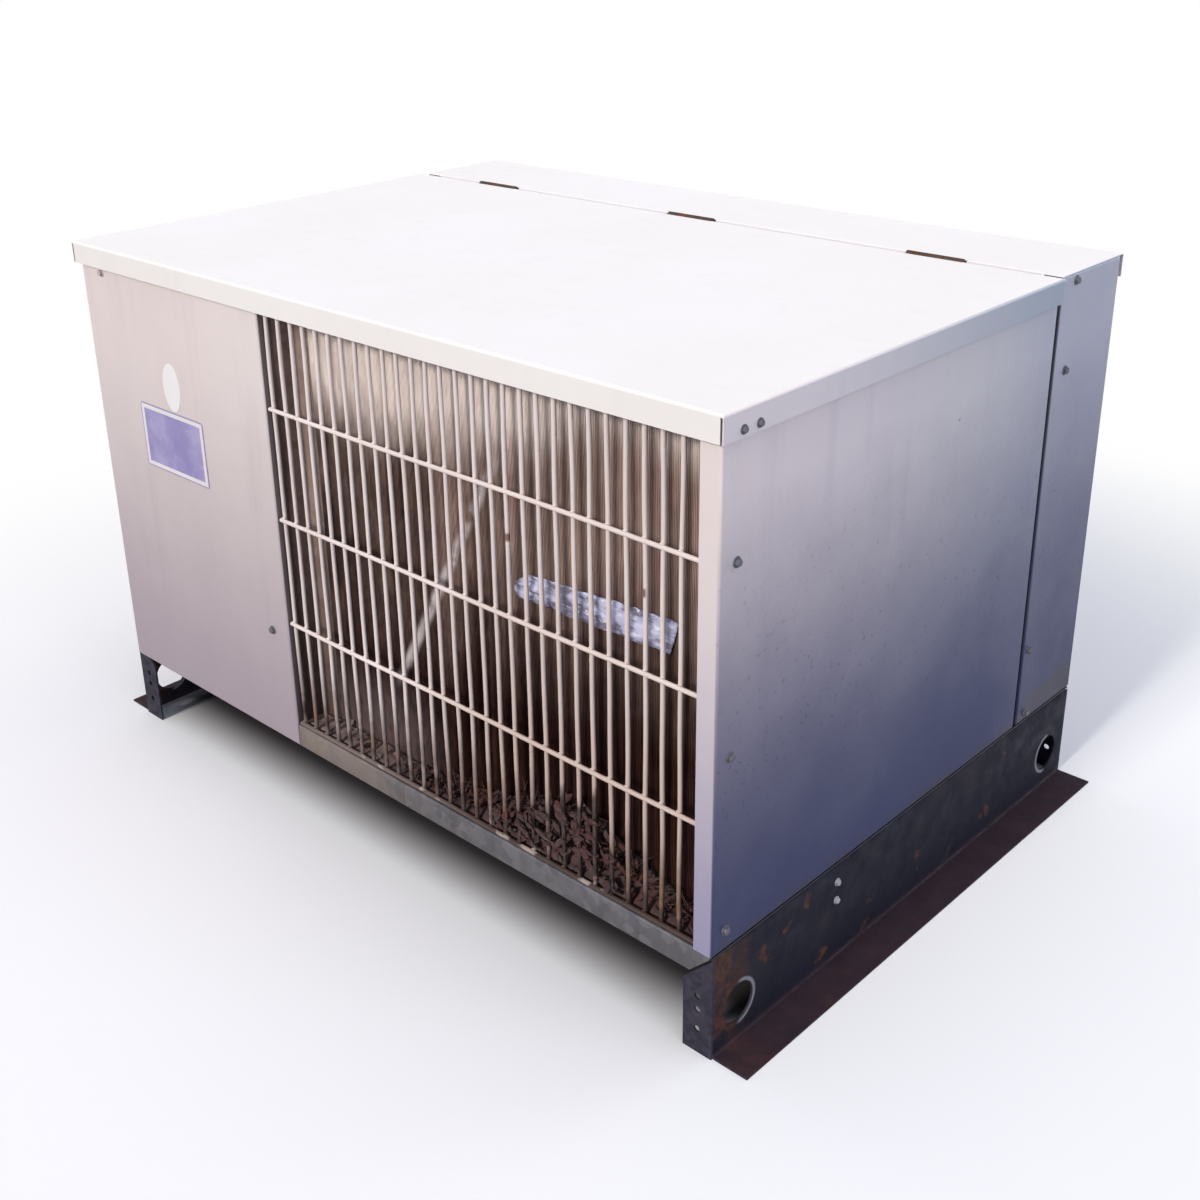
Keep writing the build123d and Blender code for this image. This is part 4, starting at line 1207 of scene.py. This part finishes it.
def floor_finish():
    """Pale floor with a painted shadow under the part, white far away; grey to the light that it throws back.
    """
    material = bpy.data.materials.new("pale_floor")
    material.use_nodes = True
    bench = Bench(material.node_tree)
    material.node_tree.nodes.remove(material.node_tree.nodes["Principled BSDF"])
    path = bench.node("ShaderNodeLightPath").outputs
    seen = bench.sum("MAXIMUM", path["Is Camera Ray"], path["Is Glossy Ray"])
    seen = bench.sum("MAXIMUM", seen, path["Is Transmission Ray"])
    x = bench.axis("X")
    y = bench.axis("Y")
    # Painted shadow: the floor under the part is painted dark.
    under = bench.between(bench.sum("ABSOLUTE", x), -1.0, 0.53, 0.02)
    under = bench.times(under, bench.between(bench.sum("ABSOLUTE", y), -1.0, 0.33, 0.05))
    grey = shaded(bench, "ShaderNodeBsdfDiffuse", (0.13, 0.13, 0.14))
    ground = bench.blend(under, (0.93, 0.93, 0.93), (0.045, 0.04, 0.045))
    pale = shaded(bench, "ShaderNodeBsdfDiffuse", ground)
    glow = shaded(bench, "ShaderNodeEmission", (1, 1, 1), 1.0)
    away = bench.sum("SQRT", bench.sum("ADD", bench.sum("POWER", x, 2.0), bench.sum("POWER", y, 2.0)))
    near_far = mixed(bench, bench.window(away, 0.75, 1.7), pale, glow)
    pick = mixed(bench, seen, grey, near_far)
    bench.feed(material.node_tree.nodes["Material Output"].inputs["Surface"], pick.outputs[0])
    return material


def studio():
    """Pale floor, soft light, white background for the camera only."""
    mesh = bpy.data.meshes.new("floor")
    reach = 40.0
    corners = [(-reach, -reach, 0), (reach, -reach, 0), (reach, reach, 0), (-reach, reach, 0)]
    mesh.from_pydata(corners, [], [(0, 1, 2, 3)])
    floor = bpy.data.objects.new("floor", mesh)
    scene.collection.objects.link(floor)
    mesh.materials.append(floor_finish())

    world = bpy.data.worlds.new("studio")
    scene.world = world
    world.use_nodes = True
    bench = Bench(world.node_tree)
    sky = world.node_tree.nodes["Background"]
    bench.feed(sky.inputs["Color"], (0.70, 0.76, 1.0))
    bench.feed(sky.inputs["Strength"], 0.36)
    white = shaded(bench, "ShaderNodeBackground", (1, 1, 1), 1.0)
    path = bench.node("ShaderNodeLightPath").outputs
    seen = bench.sum("MAXIMUM", path["Is Camera Ray"], path["Is Transmission Ray"])
    pick = mixed(bench, seen, sky, white)
    bench.feed(world.node_tree.nodes["World Output"].inputs["Surface"], pick.outputs[0])

    for name, toward, strength, spread, tint in (
            ("overhead", (0.05, 0.10, 1.0), 0.76, 60, (1.0, 0.97, 0.91)),
            ("front_soft", (0.00, -0.88, 0.48), 2.55, 11, (1.0, 0.945, 0.880)),
            ("end_fill", (0.92, 0.08, 0.22), 1.58, 60, (0.72, 0.81, 1.0)),
            ("back_fill", (0.30, 0.93, 0.10), 0.90, 30, (0.96, 0.97, 1.0)),
            ("left_fill", (-0.95, 0.05, 0.10), 1.00, 30, (0.96, 0.97, 1.0))):
        lamp = bpy.data.lights.new(name, "SUN")
        lamp.energy = strength
        lamp.angle = math.radians(spread)
        lamp.color = tint
        made = bpy.data.objects.new(name, lamp)
        made.rotation_mode = "QUATERNION"
        made.rotation_quaternion = Vector(toward).to_track_quat("Z", "Y")
        made.location = Vector(toward) * 4
        scene.collection.objects.link(made)


def photo_camera():
    """The camera at the photograph's angle."""
    right = Vector((0.71839, 0.69527, -0.02276))
    up = Vector((-0.25548, 0.29412, 0.92099))
    forward = Vector((-0.64703, 0.65582, -0.38892))
    lens = bpy.data.cameras.new("photo_camera")
    lens.sensor_width = 36.0
    lens.lens = 45.55
    lens.shift_x = 0.0333
    lens.shift_y = -0.0667
    made = bpy.data.objects.new("photo_camera", lens)
    turn = Matrix((right, up, -forward)).transposed().to_4x4()
    made.matrix_world = Matrix.Translation((1.2958, -1.3465, 1.1284)) @ turn
    scene.collection.objects.link(made)
    scene.camera = made


studio()
photo_camera()
